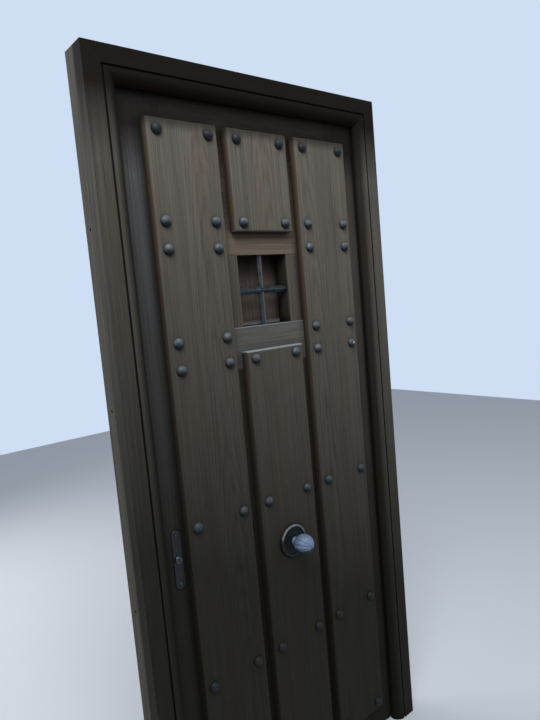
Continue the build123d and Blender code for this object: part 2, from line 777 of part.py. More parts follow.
def escutcheon(near, far, hole):
    """Long plate with round ends, bored for the cylinder or the spindle."""
    with BuildSketch(front(far)) as outline:
        with Locations((lock_x, lock_z)):
            SlotOverall(escutcheon_height, escutcheon_width, rotation=90)
    extrude(outline.sketch, amount=far - near)
    disc(lock_x, lock_z, hole, near, far, Mode.SUBTRACT)


with BuildPart() as escutcheon_outer:
    escutcheon(escutcheon_front, leaf_front, cylinder_radius + joint_gap)
    chamfer(escutcheon_outer.faces().sort_by(Axis.Y)[0].outer_wire().edges(), escutcheon_rim)
save(escutcheon_outer, "escutcheon_outer")

with BuildPart() as escutcheon_inner:
    escutcheon(leaf_back, leaf_back + escutcheon_thickness, spindle_radius + body_gap)
    chamfer(escutcheon_inner.faces().sort_by(Axis.Y)[-1].outer_wire().edges(), escutcheon_rim)
save(escutcheon_inner, "escutcheon_inner")

cylinder_front = escutcheon_front - cylinder_reach

with BuildPart() as cylinder_body:
    disc(lock_x, lock_z, cylinder_radius, cylinder_front, case_near)
    chamfer(cylinder_body.faces().sort_by(Axis.Y)[0].edges(), cylinder_rim)
    disc(lock_x, lock_z, plug_radius + pin_gap, cylinder_front, case_near, Mode.SUBTRACT)
save(cylinder_body, "cylinder_body")

with BuildPart() as cylinder_plug:
    disc(lock_x, lock_z, plug_radius, cylinder_front, case_near)
    slab(lock_x - keyway_width / 2, lock_x + keyway_width / 2, lock_z - keyway_height / 2,
         lock_z + keyway_height / 2, cylinder_front, cylinder_front + keyway_depth, Mode.SUBTRACT)
save(cylinder_plug, "cylinder_plug")

turn_near = leaf_back + escutcheon_thickness + body_gap
turn_far = turn_near + turn_rose_height

with BuildPart() as spindle:
    disc(lock_x, lock_z, spindle_radius, case_near, turn_near)
    with BuildSketch(front(crank_near + crank_thickness)):
        with Locations((lock_x, lock_z)):
            Circle(crank_hub_radius)
        with Locations((lock_x + crank_step, lock_z + crank_step)):
            Circle(crank_pin_radius + crank_side_gap)
        make_hull()
    extrude(amount=crank_thickness)
    disc(lock_x + crank_step, lock_z + crank_step, crank_pin_radius, case_mid - bolt_tail / 2, crank_near)
save(spindle, "spindle")

with BuildPart() as thumb_turn:
    disc(lock_x, lock_z, turn_rose_radius, turn_near, turn_far)
    with BuildSketch(front(turn_far + turn_grip_height)):
        with Locations((lock_x, lock_z)):
            SlotOverall(turn_grip_length, turn_grip_width, rotation=90)
    extrude(amount=turn_grip_height)
    chamfer(thumb_turn.faces().sort_by(Axis.Y)[-1].edges(), turn_grip_rim)
save(thumb_turn, "thumb_turn")

# Inside pull

pull_x = -(leaf_half + stile_inner) / 2
pull_z = lock_z + pull_rise

with BuildPart() as inside_pull:
    ends = [(pull_x, face_y + leaf_back, pull_z + side * pull_length / 2) for side in (-1, 1)]
    bar_y = face_y + leaf_back + pull_reach - pull_bar_radius
    with BuildLine():
        FilletPolyline(ends[0], (pull_x, bar_y, ends[0][2]), (pull_x, bar_y, ends[1][2]), ends[1],
                       radius=pull_bend)
    with BuildSketch(Plane(origin=ends[0], x_dir=(1, 0, 0), z_dir=(0, 1, 0))):
        Circle(pull_bar_radius)
    sweep()
    for _, _, z in ends:
        disc(pull_x, z, pull_foot_radius, leaf_back, leaf_back + pull_foot_thickness)
save(inside_pull, "inside_pull")

# Hatch

with BuildPart() as hatch_board:
    slab(-hatch_half, hatch_half, window_bottom - hatch_lap, window_top + hatch_lap, hatch_front, hatch_back)
    chamfer(hatch_board.faces().sort_by(Axis.Y)[-1].edges(), hatch_bevel)
save(hatch_board, "hatch_board")

hatch_knob_x = -hatch_half + hatch_knob_inset
hatch_knob_z = window_z + hatch_knob_rise

with BuildPart() as hatch_knob:
    with BuildSketch(Plane.XY.offset(hatch_knob_z)):
        with BuildLine():
            knob_seat = face_y + hatch_back
            knob_end = knob_seat + hatch_knob_reach
            shoulder_y = knob_end - hatch_knob_radius
            Polyline((hatch_knob_x, knob_end), (hatch_knob_x, knob_seat),
                     (hatch_knob_x + hatch_knob_foot, knob_seat),
                     (hatch_knob_x + hatch_knob_waist, (knob_seat + shoulder_y) / 2),
                     (hatch_knob_x + hatch_knob_radius, shoulder_y))
            RadiusArc((hatch_knob_x + hatch_knob_radius, shoulder_y), (hatch_knob_x, knob_end),
                      -hatch_knob_radius)
        make_face()
    revolve(axis=Axis((hatch_knob_x, 0, hatch_knob_z), (0, 1, 0)))
save(hatch_knob, "hatch_knob")

with BuildPart() as hatch_fixed_flaps:
    for z_mid in hatch_hinge_heights:
        hinge_half(hatch_hinge, z_mid, 0,
                   (hatch_hinge.x + hatch_knuckle_radius + body_gap, hatch_hinge.x + hatch_flap_width,
                    leaf_back, leaf_back + hatch_flap),
                   (hatch_hinge.x, hatch_hinge.x + hatch_knuckle_radius + body_gap, leaf_back,
                    leaf_back + hatch_flap))
save(hatch_fixed_flaps, "hatch_fixed_flaps")

with BuildPart() as hatch_flaps:
    for z_mid in hatch_hinge_heights:
        hinge_half(hatch_hinge, z_mid, 1,
                   (hatch_half, hatch_half + hatch_flap, hatch_hinge.depth + hatch_knuckle_radius + body_gap,
                    hatch_back),
                   (hatch_half, hatch_half + hatch_flap, hatch_hinge.depth,
                    hatch_hinge.depth + hatch_knuckle_radius + body_gap))
save(hatch_flaps, "hatch_flaps")

with BuildPart() as hatch_pins:
    hinge_pins(hatch_hinge, hatch_hinge_heights, hatch_pin_tip_radius)
save(hatch_pins, "hatch_pins")

with BuildPart() as hatch_button:
    disc(button_x, button_z, button_radius, leaf_back + body_gap, button_near)
    with BuildSketch(front(button_far)):
        with Locations((button_x, button_z)):
            Circle(button_radius)
        with Locations((button_x, button_z - button_length + button_tip_radius)):
            Circle(button_tip_radius)
        make_hull()
    extrude(amount=button_thickness)
    disc(button_x, button_z, button_screw_radius + pin_gap, leaf_back, button_far, Mode.SUBTRACT)
save(hatch_button, "hatch_button")

with BuildPart() as button_screw:
    disc(button_x, button_z, button_screw_radius, case_mid, button_far + body_gap)
    disc(button_x, button_z, button_screw_head, button_far + body_gap,
         button_far + body_gap + button_screw_radius)
save(button_screw, "button_screw")
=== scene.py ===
import json
from math import pi, radians, tau

import bpy
import numpy as np
from mathutils import Matrix, Vector


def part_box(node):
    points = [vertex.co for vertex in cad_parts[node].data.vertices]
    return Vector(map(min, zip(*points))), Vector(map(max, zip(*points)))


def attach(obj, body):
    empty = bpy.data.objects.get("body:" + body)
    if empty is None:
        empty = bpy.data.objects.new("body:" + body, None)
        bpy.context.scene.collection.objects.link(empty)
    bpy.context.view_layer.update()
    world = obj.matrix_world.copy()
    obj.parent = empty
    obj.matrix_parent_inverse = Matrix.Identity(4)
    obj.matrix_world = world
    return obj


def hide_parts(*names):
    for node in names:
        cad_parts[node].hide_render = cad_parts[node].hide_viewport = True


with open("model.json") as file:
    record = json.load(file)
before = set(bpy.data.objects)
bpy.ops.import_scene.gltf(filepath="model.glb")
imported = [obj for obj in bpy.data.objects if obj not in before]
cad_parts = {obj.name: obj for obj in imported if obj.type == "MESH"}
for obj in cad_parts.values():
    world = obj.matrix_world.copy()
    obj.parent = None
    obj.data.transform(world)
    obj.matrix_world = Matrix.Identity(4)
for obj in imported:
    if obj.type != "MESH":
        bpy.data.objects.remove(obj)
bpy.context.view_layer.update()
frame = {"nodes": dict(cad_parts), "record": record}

# A studded plank door in its moulded frame. Lengths are in metres: X runs across the door as seen from
# outdoors, Y from outdoors to indoors, Z up.

MM = 0.001


# Camera and light

CAMERA_AT = Vector((-1.0783, -1.3158, 1.5425))
CAMERA_FORWARD = Vector((0.62777, 0.77158, -0.10278))
CAMERA_UP = Vector((0.13320, 0.02361, 0.99081))
CAMERA_LENS = 29.09


def place_camera():
    """Camera at the photograph's viewing angle: close to the door, left of it, at eye height."""
    camera = bpy.data.objects.new("camera", bpy.data.cameras.new("camera"))
    bpy.context.scene.collection.objects.link(camera)
    right = CAMERA_FORWARD.cross(CAMERA_UP)
    turn = Matrix((right, CAMERA_UP, -CAMERA_FORWARD)).transposed()
    camera.matrix_world = Matrix.Translation(CAMERA_AT) @ turn.to_4x4()
    camera.data.lens = CAMERA_LENS
    camera.data.clip_start = 0.05
    bpy.context.scene.camera = camera


def soft_lamp(name, place, target, size, power, colour):
    """Square area lamp aimed at a point."""
    data = bpy.data.lights.new(name, "AREA")
    data.shape = "SQUARE"
    data.size = size
    data.energy = power
    data.color = colour
    lamp = bpy.data.objects.new(name, data)
    bpy.context.scene.collection.objects.link(lamp)
    lamp.location = place
    lamp.rotation_euler = (Vector(target) - Vector(place)).to_track_quat("-Z", "Y").to_euler()


def between(tree, share, first, second):
    """Colour that goes from the first to the second as the share goes from 0 to 1."""
    shade = tree.nodes.new("ShaderNodeMix")
    shade.data_type = "RGBA"
    shade.inputs["A"].default_value = (*first, 1)
    shade.inputs["B"].default_value = (*second, 1)
    tree.links.new(share, shade.inputs["Factor"])
    return shade.outputs["Result"]


def studio():
    """Plain pale background, and soft light from all round with a sky lamp above the door. The background is
    brighter where it is seen, also in a reflection, than where it lights the door."""
    world = bpy.data.worlds.new("studio")
    world.use_nodes = True
    bpy.context.scene.world = world
    tree = world.node_tree
    path = tree.nodes.new("ShaderNodeLightPath")
    seen = path.outputs["Is Camera Ray"]
    for ray in ("Is Glossy Ray", "Is Transmission Ray"):
        either = tree.nodes.new("ShaderNodeMath")
        either.operation = "MAXIMUM"
        tree.links.new(seen, either.inputs[0])
        tree.links.new(path.outputs[ray], either.inputs[1])
        seen = either.outputs[0]
    colour = between(tree, seen, (0.25, 0.27, 0.30), (0.62, 0.73, 0.90))
    tree.links.new(colour, tree.nodes["Background"].inputs["Color"])
    soft_lamp("sky", (-1.2, -1.6, 3.9), (0, 0, 1.8), 1.8, 72, (0.94, 0.97, 1.0))
    soft_lamp("street", (2.0, -3.4, 1.8), (0, 0, 1.0), 2.6, 16, (0.94, 0.96, 1.0))
    soft_lamp("room", (-1.4, 2.8, 2.2), (0, 0, 1.2), 2.4, 42, (1.0, 0.98, 0.95))
    bpy.context.scene.view_settings.view_transform = "Standard"


place_camera()
studio()


# Meshes and floor

def mesh_object(name, points, faces, smooth=True):
    """One mesh object from an array of points and a list of face arrays, each with equal-sided faces."""
    mesh = bpy.data.meshes.new(name)
    mesh.from_pydata(points.tolist(), [], [face for block in faces for face in block.tolist()])
    mesh.polygons.foreach_set("use_smooth", np.full(len(mesh.polygons), smooth))
    mesh.update()
    piece = bpy.data.objects.new(name, mesh)
    bpy.context.scene.collection.objects.link(piece)
    return piece


def grid_faces(rows, columns, around=False):
    """Quads of a grid whose points run along each row; around joins the last column to the first."""
    index = np.arange(rows * columns).reshape(rows, columns)
    if around:
        index = np.concatenate([index, index[:, :1]], axis=1)
    return np.stack([index[:-1, :-1], index[:-1, 1:], index[1:, 1:], index[1:, :-1]], axis=-1).reshape(-1, 4)


def cap_faces(ring, centre, flip):
    """Triangles from one ring of points to a centre point."""
    after = np.roll(ring, -1)
    triangles = np.stack([ring, after, np.full_like(ring, centre)], axis=-1)
    return triangles[:, ::-1] if flip else triangles


def floor_plane():
    """Pale floor, a square of four points. It throws less light up at the door than is seen on it."""
    half = 6.0
    corners = np.array([(-half, -half, 0), (half, -half, 0), (half, half, 0), (-half, half, 0)])
    floor = mesh_object("floor", corners, [np.array([[0, 1, 2, 3]])], smooth=False)
    material = bpy.data.materials.new("pale_floor")
    material.use_nodes = True
    tree = material.node_tree
    shader = tree.nodes["Principled BSDF"]
    path = tree.nodes.new("ShaderNodeLightPath")
    colour = between(tree, path.outputs["Is Diffuse Ray"], (0.86, 0.90, 0.96), (0.30, 0.31, 0.33))
    tree.links.new(colour, shader.inputs["Base Color"])
    shader.inputs["Roughness"].default_value = 0.8
    floor.data.materials.append(material)


floor_plane()


def ripple(along, across, seed, waves=7):
    """Smooth uneven surface between -1 and 1: a sum of sine waves of random direction and phase."""
    draw = np.random.default_rng(seed)
    total = np.zeros(np.broadcast(along, across).shape)
    for number in range(waves):
        angle, phase = draw.uniform(0, tau, 2)
        speed = draw.uniform(0.6, 2.2)
        total = total + np.sin(speed * (along * np.cos(angle) + across * np.sin(angle)) * tau + phase)
    return total / waves


def join(name, blocks):
    """One smooth object from several (points, faces) blocks."""
    start = 0
    points, faces = [], []
    for block_points, block_faces in blocks:
        points.append(block_points.reshape(-1, 3))
        faces += [part + start for part in block_faces]
        start += len(points[-1])
    return mesh_object(name, np.concatenate(points), faces)


def closed_rows(rows, flip=False):
    """Faces of a tube made of rings of points, closed at both ends by a fan round a middle point.
    rows has shape (rings, around, 3); the two middle points are added after them."""
    count, around = rows.shape[:2]
    points = np.concatenate([rows.reshape(-1, 3), rows[0].mean(axis=0)[None], rows[-1].mean(axis=0)[None]])
    sides = grid_faces(count, around, around=True)
    if flip:
        sides = sides[:, ::-1]
    first = cap_faces(np.arange(around), count * around, not flip)
    last = cap_faces(np.arange(around) + (count - 1) * around, count * around + 1, flip)
    return points, [sides, first, last]


def place_of(node):
    """Lowest and highest corner of a CAD node as arrays."""
    low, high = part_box(node)
    return np.array(low), np.array(high)


def stand_for(piece, node, body, material):
    """Lets a new piece take a CAD node's place."""
    piece.data.materials.append(material)
    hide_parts(node)
    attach(piece, body)


# Finishes

class Finish:
    """A material being built, with short ways to add its nodes. colour is its colour so far."""

    def __init__(self, name):
        self.material = bpy.data.materials.new(name)
        self.material.use_nodes = True
        self.tree = self.material.node_tree
        self.shader = self.tree.nodes["Principled BSDF"]
        self.place = self.tree.nodes.new("ShaderNodeTexCoord").outputs["Object"]
        self.colour = None

    def connect(self, socket, value):
        """Links an output to a socket, or sets a plain value on it."""
        if isinstance(value, bpy.types.NodeSocket):
            self.tree.links.new(value, socket)
        else:
            socket.default_value = value

    def node(self, kind, inputs=None, **settings):
        """Adds a node, sets its properties, then its inputs from values or from other outputs."""
        new = self.tree.nodes.new(kind)
        for key, value in settings.items():
            setattr(new, key, value)
        for key, value in (inputs or {}).items():
            self.connect(new.inputs[key], value)
        return new

    def mapped(self, offset=(0, 0, 0), turn=(0, 0, 0), scale=(1, 1, 1)):
        """Object coordinates, moved, turned and scaled."""
        return self.node("ShaderNodeMapping", {"Vector": self.place, "Location": offset,
                                               "Rotation": turn, "Scale": scale}).outputs[0]

    def coordinate(self, axis, vector=None):
        """One coordinate of a vector, or of the place on the door where no vector is given."""
        return self.node("ShaderNodeSeparateXYZ", {"Vector": vector or self.place}).outputs[axis]

    def noise(self, vector, scale, detail, roughness):
        """Cloudy pattern between 0 and 1."""
        inputs = {"Vector": vector, "Scale": scale, "Detail": detail, "Roughness": roughness}
        return self.node("ShaderNodeTexNoise", inputs).outputs["Fac"]

    def ramp(self, factor, low, high, to_low=0.0, to_high=1.0):
        """Straight ramp from one range to another, clamped."""
        return self.node("ShaderNodeMapRange", {"Value": factor, "From Min": low, "From Max": high,
                                                "To Min": to_low, "To Max": to_high}).outputs["Result"]

    def math(self, operation, first, second=0.0):
        """Result of one operation on one or two values."""
        return self.node("ShaderNodeMath", {0: first, 1: second}, operation=operation).outputs[0]

    def plus(self, first, second):
        """Sum of two values."""
        return self.math("ADD", first, second)

    def minus(self, first, second):
        """Difference of two values."""
        return self.math("SUBTRACT", first, second)

    def times(self, first, second):
        """Product of two values."""
        return self.math("MULTIPLY", first, second)

    def vector_math(self, operation, first, second=(0, 0, 0)):
        """Result of one operation on vectors: a plain value for a length, a distance or a dot product."""
        output = "Value" if operation in ("LENGTH", "DISTANCE", "DOT_PRODUCT") else "Vector"
        return self.node("ShaderNodeVectorMath", {0: first, 1: second}, operation=operation).outputs[output]

    def mix(self, factor, first, second, blend="MIX"):
        """Blend of two colours."""
        mixed = self.node("ShaderNodeMix", data_type="RGBA", blend_type=blend)
        self.connect(mixed.inputs["Factor"], factor)
        for key, colour in (("A", first), ("B", second)):
            self.connect(mixed.inputs[key], (*colour, 1) if isinstance(colour, tuple) else colour)
        return mixed.outputs["Result"]

    def coat(self, share, tone):
        """Lays a tone over the colour so far, as strongly as the share says."""
        self.colour = self.mix(share, self.colour, tone)

    def bump(self, height, strength, distance, under=None):
        """Normal of a surface raised by a height, laid over another normal where one is given."""
        inputs = {"Height": height, "Strength": strength, "Distance": distance}
        if under:
            inputs["Normal"] = under
        return self.node("ShaderNodeBump", inputs).outputs[0]

    def edge_mask(self, radius, low, high):
        """1 on sharp edges: how far the normal of a rounded edge turns from the face's own."""
        rounded = self.node("ShaderNodeBevel", {"Radius": radius}, samples=6).outputs[0]
        flat = self.node("ShaderNodeNewGeometry").outputs["Normal"]
        turn = self.vector_math("DOT_PRODUCT", rounded, flat)
        return self.ramp(turn, 1 - low, 1 - high)

    def hollow_mask(self, distance):
        """1 in corners and grooves, 0 in the open."""
        shut_in, open_air = 0.45, 0.95
        light = self.node("ShaderNodeAmbientOcclusion", {"Distance": distance}, samples=8).outputs["AO"]
        return self.ramp(light, shut_in, open_air, 1.0, 0.0)

    def finish(self, roughness, normal, metallic=0.0, gloss=0.5):
        """Joins the results to the shader. Plain values go straight onto its sockets."""
        results = {"Base Color": self.colour, "Roughness": roughness, "Normal": normal,
                   "Metallic": metallic, "Specular IOR Level": gloss}
        for key, value in results.items():
            self.connect(self.shader.inputs[key], value)
        return self.material


def srgb(red, green, blue):
    """Linear colour from the 0 to 255 values a screen shows."""
    values = np.array((red, green, blue)) / 255
    return tuple(np.where(values <= 0.04045, values / 12.92, ((values + 0.055) / 1.055) ** 2.4).tolist())


def dress(node, material):
    """Gives a CAD node one material."""
    slots = frame["nodes"][node].data.materials
    slots.clear()
    slots.append(material)


# Timber

FACE_Y = place_of("plank_left")[0][1]
LEAF_FRONT_Y = place_of("lock_stile")[0][1]
FRAME_FRONT_Y = place_of("head")[0][1]
WINDOW_TOP, WINDOW_BOTTOM = place_of("window_head_rail")[0][2], place_of("window_sill_rail")[1][2]
WINDOW_HALF = place_of("window_muntin_right")[0][0]
SIGHT_HALF, SIGHT_TOP = place_of("jamb_right")[0][0], place_of("head")[0][2]
MOULDING_WIDTH = 33 * MM
RING_SPACING = 0.0042
PITH_DEPTH = 0.07
FOOT_DARK_Z, FOOT_LIGHT_Z = 0.70, 1.84

# Painted shadow at the top, that of the lintel above the door and, on the hatch, that of the window's head:
# height where it begins, height where it is full, and how strong it is there.
TOP_SHADOW = {"leaf": (1.880, 1.995, 0.90), "frame": (1.900, 2.070, 0.97), "plank": (1.982, 2.008, 0.66),
        "hatch": (WINDOW_TOP - 80 * MM, WINDOW_TOP - 15 * MM, 0.72), "stud": (1.93, 1.975, 0.84)}

TONES = {
    "plank": dict(dark=srgb(72, 69, 62), light=srgb(129, 123, 113),
                  worn=srgb(152, 138, 122), brown=srgb(115, 98, 83)),
    "leaf": dict(dark=srgb(68, 62, 54), light=srgb(126, 119, 109),
                 worn=srgb(142, 130, 114), brown=srgb(107, 92, 78)),
    "frame": dict(dark=srgb(60, 57, 50), light=srgb(116, 112, 102),
                  worn=srgb(128, 120, 108), brown=srgb(93, 83, 73)),
    "hatch": dict(dark=srgb(66, 58, 52), light=srgb(116, 103, 93),
                  worn=srgb(116, 104, 94), brown=srgb(104, 85, 72)),
}
PORE_TONE = (0.012, 0.010, 0.008)
PLANK_SIDE_TONE = srgb(104, 80, 62)
# Tone of the painted shade deep in the grooves.
GROOVE_SHADE_TONE = (0.010, 0.007, 0.005)
# Tone of the painted shade deep in the frame's moulding.
MOULDING_SHADE_TONE = (0.008, 0.007, 0.006)
# Tone of the painted shade in the window's reveal.
REVEAL_SHADE_TONE = srgb(38, 37, 31)
JOINT_TONE = (0.010, 0.008, 0.007)
# Tone of the painted shade at the foot.
FOOT_SHADE_TONE = (0.0108, 0.0104, 0.0062)
# Tone of the painted shadow at the top.
TOP_SHADOW_TONE = (0.0076, 0.0043, 0.0022)
# Tone of the painted highlight on lit edges.
LIT_EDGE_TONE = srgb(156, 164, 167)
# Tone of the painted shade in hollows.
HOLLOW_SHADE_TONE = (0.008, 0.006, 0.005)
# Tone of the painted light on the hatch above the sill.
LIT_BAND_TONE = srgb(150, 152, 154)


class Timber(Finish):
    """Weathered stained softwood. The figure comes first, and each method after it lays over it a trace of
    the weather, painted light or shade, or both. depth, height and aside say where a point lies, and outdoors
    is 1 on the outdoor side."""

    def __init__(self, name, tones, grain, seed):
        super().__init__(name)
        self.tones = tones
        self.draw = np.random.default_rng(seed)
        self.turn = {"Z": (0, 0, 0), "X": (0, radians(90), 0)}[grain]
        self.along = self.mapped(offset=tuple(self.draw.uniform(-3, 3, 3)), turn=self.turn)
        self.depth, self.height = self.coordinate("Y"), self.coordinate("Z")
        self.aside = self.math("ABSOLUTE", self.coordinate("X"))
        self.outdoors = self.ramp(self.depth, LEAF_FRONT_Y + 4 * MM, LEAF_FRONT_Y + 16 * MM, 1.0, 0.0)
        self.late = self.late_wood()
        self.fibre = self.grained(520, 6, 4.0, 0.65)
        self.pores = self.ramp(self.grained(1100, 30, 2.0, 0.5), 0.62, 0.74)
        self.mottle = self.grained(14, 2.5, 4.0, 0.6)

    def grained(self, across, length, detail, roughness):
        """Noise stretched along the grain; across and length are its repeats in a metre."""
        stretched = self.node("ShaderNodeMapping", {"Vector": self.along, "Scale": (across, across, length)})
        return self.noise(stretched.outputs[0], 1.0, detail, roughness)

    def late_wood(self):
        """Dark lines of the growth rings, which are cylinders round a pith line behind the board. The line
        leans towards the face, so that the rings cut it in long flames, and a slow wave bends it."""
        slow = self.grained(4, 0.8, 3.0, 0.5)
        lean = radians(self.draw.uniform(1.0, 2.2) * self.draw.choice((-1, 1)))
        twist = radians(self.draw.uniform(-0.3, 0.3))
        beside = self.node("ShaderNodeMapping", {
            "Vector": self.mapped(turn=self.turn), "Rotation": (lean, twist, 0),
            "Location": (self.draw.uniform(-0.3, 0.3), PITH_DEPTH, 0)}).outputs[0]
        shift = self.node("ShaderNodeCombineXYZ", {"X": self.ramp(slow, 0, 1, -0.02, 0.02),
                                                   "Y": self.ramp(slow, 0, 1, -0.03, 0.03)}).outputs[0]
        bent = self.vector_math("ADD", beside, shift)
        rings = self.node("ShaderNodeTexWave", {"Vector": bent, "Scale": tau / (20 * RING_SPACING),
                                                "Distortion": 0.6, "Detail": 3.0, "Detail Scale": 0.6},
                          wave_type="RINGS", rings_direction="Z").outputs["Fac"]
        return self.math("POWER", rings, 2.0)

    def figure(self):
        """Late wood, fibres and streaks, with brown and dark stretches that follow each other, and pores."""
        streak = self.grained(110, 1.4, 3.0, 0.6)
        broad = self.grained(26, 0.9, 3.0, 0.55)
        lines = self.plus(self.times(self.late, 0.11), self.times(self.fibre, 0.62))
        lines = self.plus(lines, self.times(streak, 0.60))
        self.colour = self.mix(self.ramp(lines, 0.42, 0.98), self.tones["light"], self.tones["dark"])
        self.coat(self.times(self.ramp(broad, 0.48, 0.68), 0.45), self.tones["brown"])
        self.coat(self.times(self.ramp(self.mottle, 0.42, 0.70), 0.30), self.tones["dark"])
        self.coat(self.times(self.pores, 0.28), PORE_TONE)

    def tint(self, factors):
        """Painted light and shade: multiplies the colour of the outdoor side."""
        self.coat(self.outdoors, self.mix(1.0, self.colour, factors, "MULTIPLY"))

    def brown_sides_and_groove_shade(self):
        """The planks' sides keep their brown stain, and painted shade darkens them deep in the grooves."""
        self.coat(self.ramp(self.depth, FACE_Y + 2 * MM, FACE_Y + 14 * MM, 0.0, 0.88), PLANK_SIDE_TONE)
        self.coat(self.ramp(self.depth, FACE_Y + 8 * MM, FACE_Y + 24 * MM, 0.0, 0.80), GROOVE_SHADE_TONE)

    def painted_moulding_shade(self):
        """Painted shade on what lies deep in the frame's moulding."""
        out = self.math("MAXIMUM", self.minus(self.aside, SIGHT_HALF), self.minus(self.height, SIGHT_TOP))
        moulded = self.ramp(out, MOULDING_WIDTH, MOULDING_WIDTH + 1 * MM, 1.0, 0.0)
        deep = self.ramp(self.depth, FRAME_FRONT_Y + 0.3 * MM, FRAME_FRONT_Y + 7.5 * MM, 0.0, 0.80)
        self.coat(self.times(self.times(moulded, self.outdoors), deep), MOULDING_SHADE_TONE)

    def reveal_shade_and_joints(self):
        """Painted shade on what lies deep in the window, and dark joints of its rails beside it."""
        middle, reach = (WINDOW_TOP + WINDOW_BOTTOM) / 2, (WINDOW_TOP - WINDOW_BOTTOM) / 2
        deep = self.ramp(self.depth, LEAF_FRONT_Y + 1 * MM, LEAF_FRONT_Y + 10 * MM, 0.0, 0.80)
        level = self.math("ABSOLUTE", self.minus(self.height, middle))
        beside = self.ramp(self.aside, WINDOW_HALF + 0.6 * MM, WINDOW_HALF + 1.2 * MM, 1.0, 0.0)
        above = self.ramp(level, reach + 0.6 * MM, reach + 1.2 * MM, 1.0, 0.0)
        self.coat(self.times(self.times(beside, deep), above), REVEAL_SHADE_TONE)
        for edge_z in (WINDOW_TOP, WINDOW_BOTTOM):
            off = self.math("ABSOLUTE", self.minus(self.height, edge_z))
            line = self.times(self.ramp(off, 0.5 * MM, 1.3 * MM, 0.75, 0.0),
                              self.ramp(self.aside, WINDOW_HALF, WINDOW_HALF + 1 * MM))
            self.coat(line, JOINT_TONE)

    def painted_foot_shade(self):
        """Painted shade: the foot of the door is darker than its top, more so on the lock side."""
        level = self.plus(self.height, self.ramp(self.mottle, 0.2, 0.8, -0.10, 0.10))
        level = self.plus(level, self.times(self.coordinate("X"), 0.45))
        low_down = self.ramp(level, FOOT_DARK_Z, FOOT_LIGHT_Z, 0.86, 0.0)
        self.coat(self.times(low_down, self.outdoors), FOOT_SHADE_TONE)

    def painted_top_shadow(self, shadow_low, shadow_high, strength, all_through):
        """Painted shadow darkens what lies right under the head above it, on the outdoor side or through the
        whole timber.
        """
        shadowed = self.ramp(self.height, shadow_low, shadow_high, 0.0, strength)
        self.coat(shadowed if all_through else self.times(shadowed, self.outdoors), TOP_SHADOW_TONE)

    def worn_arrises(self, shadow_low, shadow_high):
        """The arrises are worn pale, less so towards the foot and under the painted shadow at the top."""
        edge = self.times(self.edge_mask(2.5 * MM, 0.02, 0.25), self.ramp(self.fibre, 0.35, 0.6, 0.35, 1.0))
        edge = self.times(edge, self.ramp(self.height, 0.4, 1.6, 0.08, 0.50))
        edge = self.times(edge, self.ramp(self.height, shadow_low, shadow_high, 1.0, 0.10))
        self.coat(edge, self.tones["worn"])

    def wiped_edge(self, edge_z, edge_y):
        """Painted highlight: an upper edge at a height, lit pale from the front to a depth."""
        near = self.times(self.ramp(self.height, edge_z - 2.6 * MM, edge_z - 1.2 * MM),
                          self.ramp(self.depth, edge_y, edge_y + 1.5 * MM, 1.0, 0.0))
        self.coat(self.times(near, self.ramp(self.fibre, 0.30, 0.55, 0.5, 0.95)), LIT_EDGE_TONE)

    def dirty_hollows(self, strength):
        """Painted shade lies in corners and round whatever stands on the timber."""
        self.coat(self.times(self.hollow_mask(34 * MM), strength), HOLLOW_SHADE_TONE)

    def painted_lit_band(self):
        """Painted light: a pale band on the hatch just above the window's sill."""
        band_low, band_high = WINDOW_BOTTOM + 1 * MM, WINDOW_BOTTOM + 15 * MM
        lit_band = self.times(self.ramp(self.height, band_low, band_low + 1 * MM),
                             self.ramp(self.height, band_low + 5 * MM, band_high, 0.50, 0.0))
        self.coat(lit_band, LIT_BAND_TONE)

    def dull_surface(self):
        """Nearly matt surface on which late wood and fibres stand up and pores lie low."""
        rough = self.ramp(self.fibre, 0.3, 0.7, 0.60, 0.78)
        rise = self.minus(self.plus(self.times(self.late, 0.35), self.fibre), self.times(self.pores, 0.8))
        return self.finish(rough, self.bump(rise, 0.30, 0.5 * MM), gloss=0.07)


def stained_timber(name, kind, grain, seed, dirt=0.85, tint=None, reveal=False, wiped=None):
    """Material of one timber. kind picks its tones and its painted shadow at the top. After the seed come the
    strength of the painted shade in hollows, then tint, three factors that paint light and shade on the
    outdoor side, and last the height and the depth of an edge with a painted highlight."""
    wood = Timber(name, TONES[kind], grain, seed)
    wood.figure()
    if tint:
        wood.tint(tint)
    if kind == "plank":
        wood.brown_sides_and_groove_shade()
    if kind == "frame":
        wood.painted_moulding_shade()
    if reveal:
        wood.reveal_shade_and_joints()
    wood.painted_foot_shade()
    shadow_low, shadow_high, strength = TOP_SHADOW[kind]
    wood.painted_top_shadow(shadow_low, shadow_high, strength, all_through=kind == "hatch")
    wood.worn_arrises(shadow_low, shadow_high)
    if wiped:
        wood.wiped_edge(*wiped)
    wood.dirty_hollows(dirt)
    if kind == "hatch":
        wood.painted_lit_band()
    return wood.dull_surface()


# Factors of painted light and shade for the outdoor side: the window's rails are painted lighter, the lock
# stile darker and bluer, and the hinge stile darker, as in the jamb's shade.
PAINTED_LIGHT_FACTORS = {"window_head_rail": (1.45, 1.28, 1.18), "window_sill_rail": (1.25, 1.38, 1.55),
              "lock_stile": (0.76, 0.85, 1.05), "hinge_stile": (0.60, 0.60, 0.62)}
# Strength of the painted shade in hollows for each kind of timber, and for the sill rail.
HOLLOW_SHADE = {"leaf": 0.97, "frame": 0.85, "hatch": 0.85}
SILL_HOLLOW_SHADE = 0.30

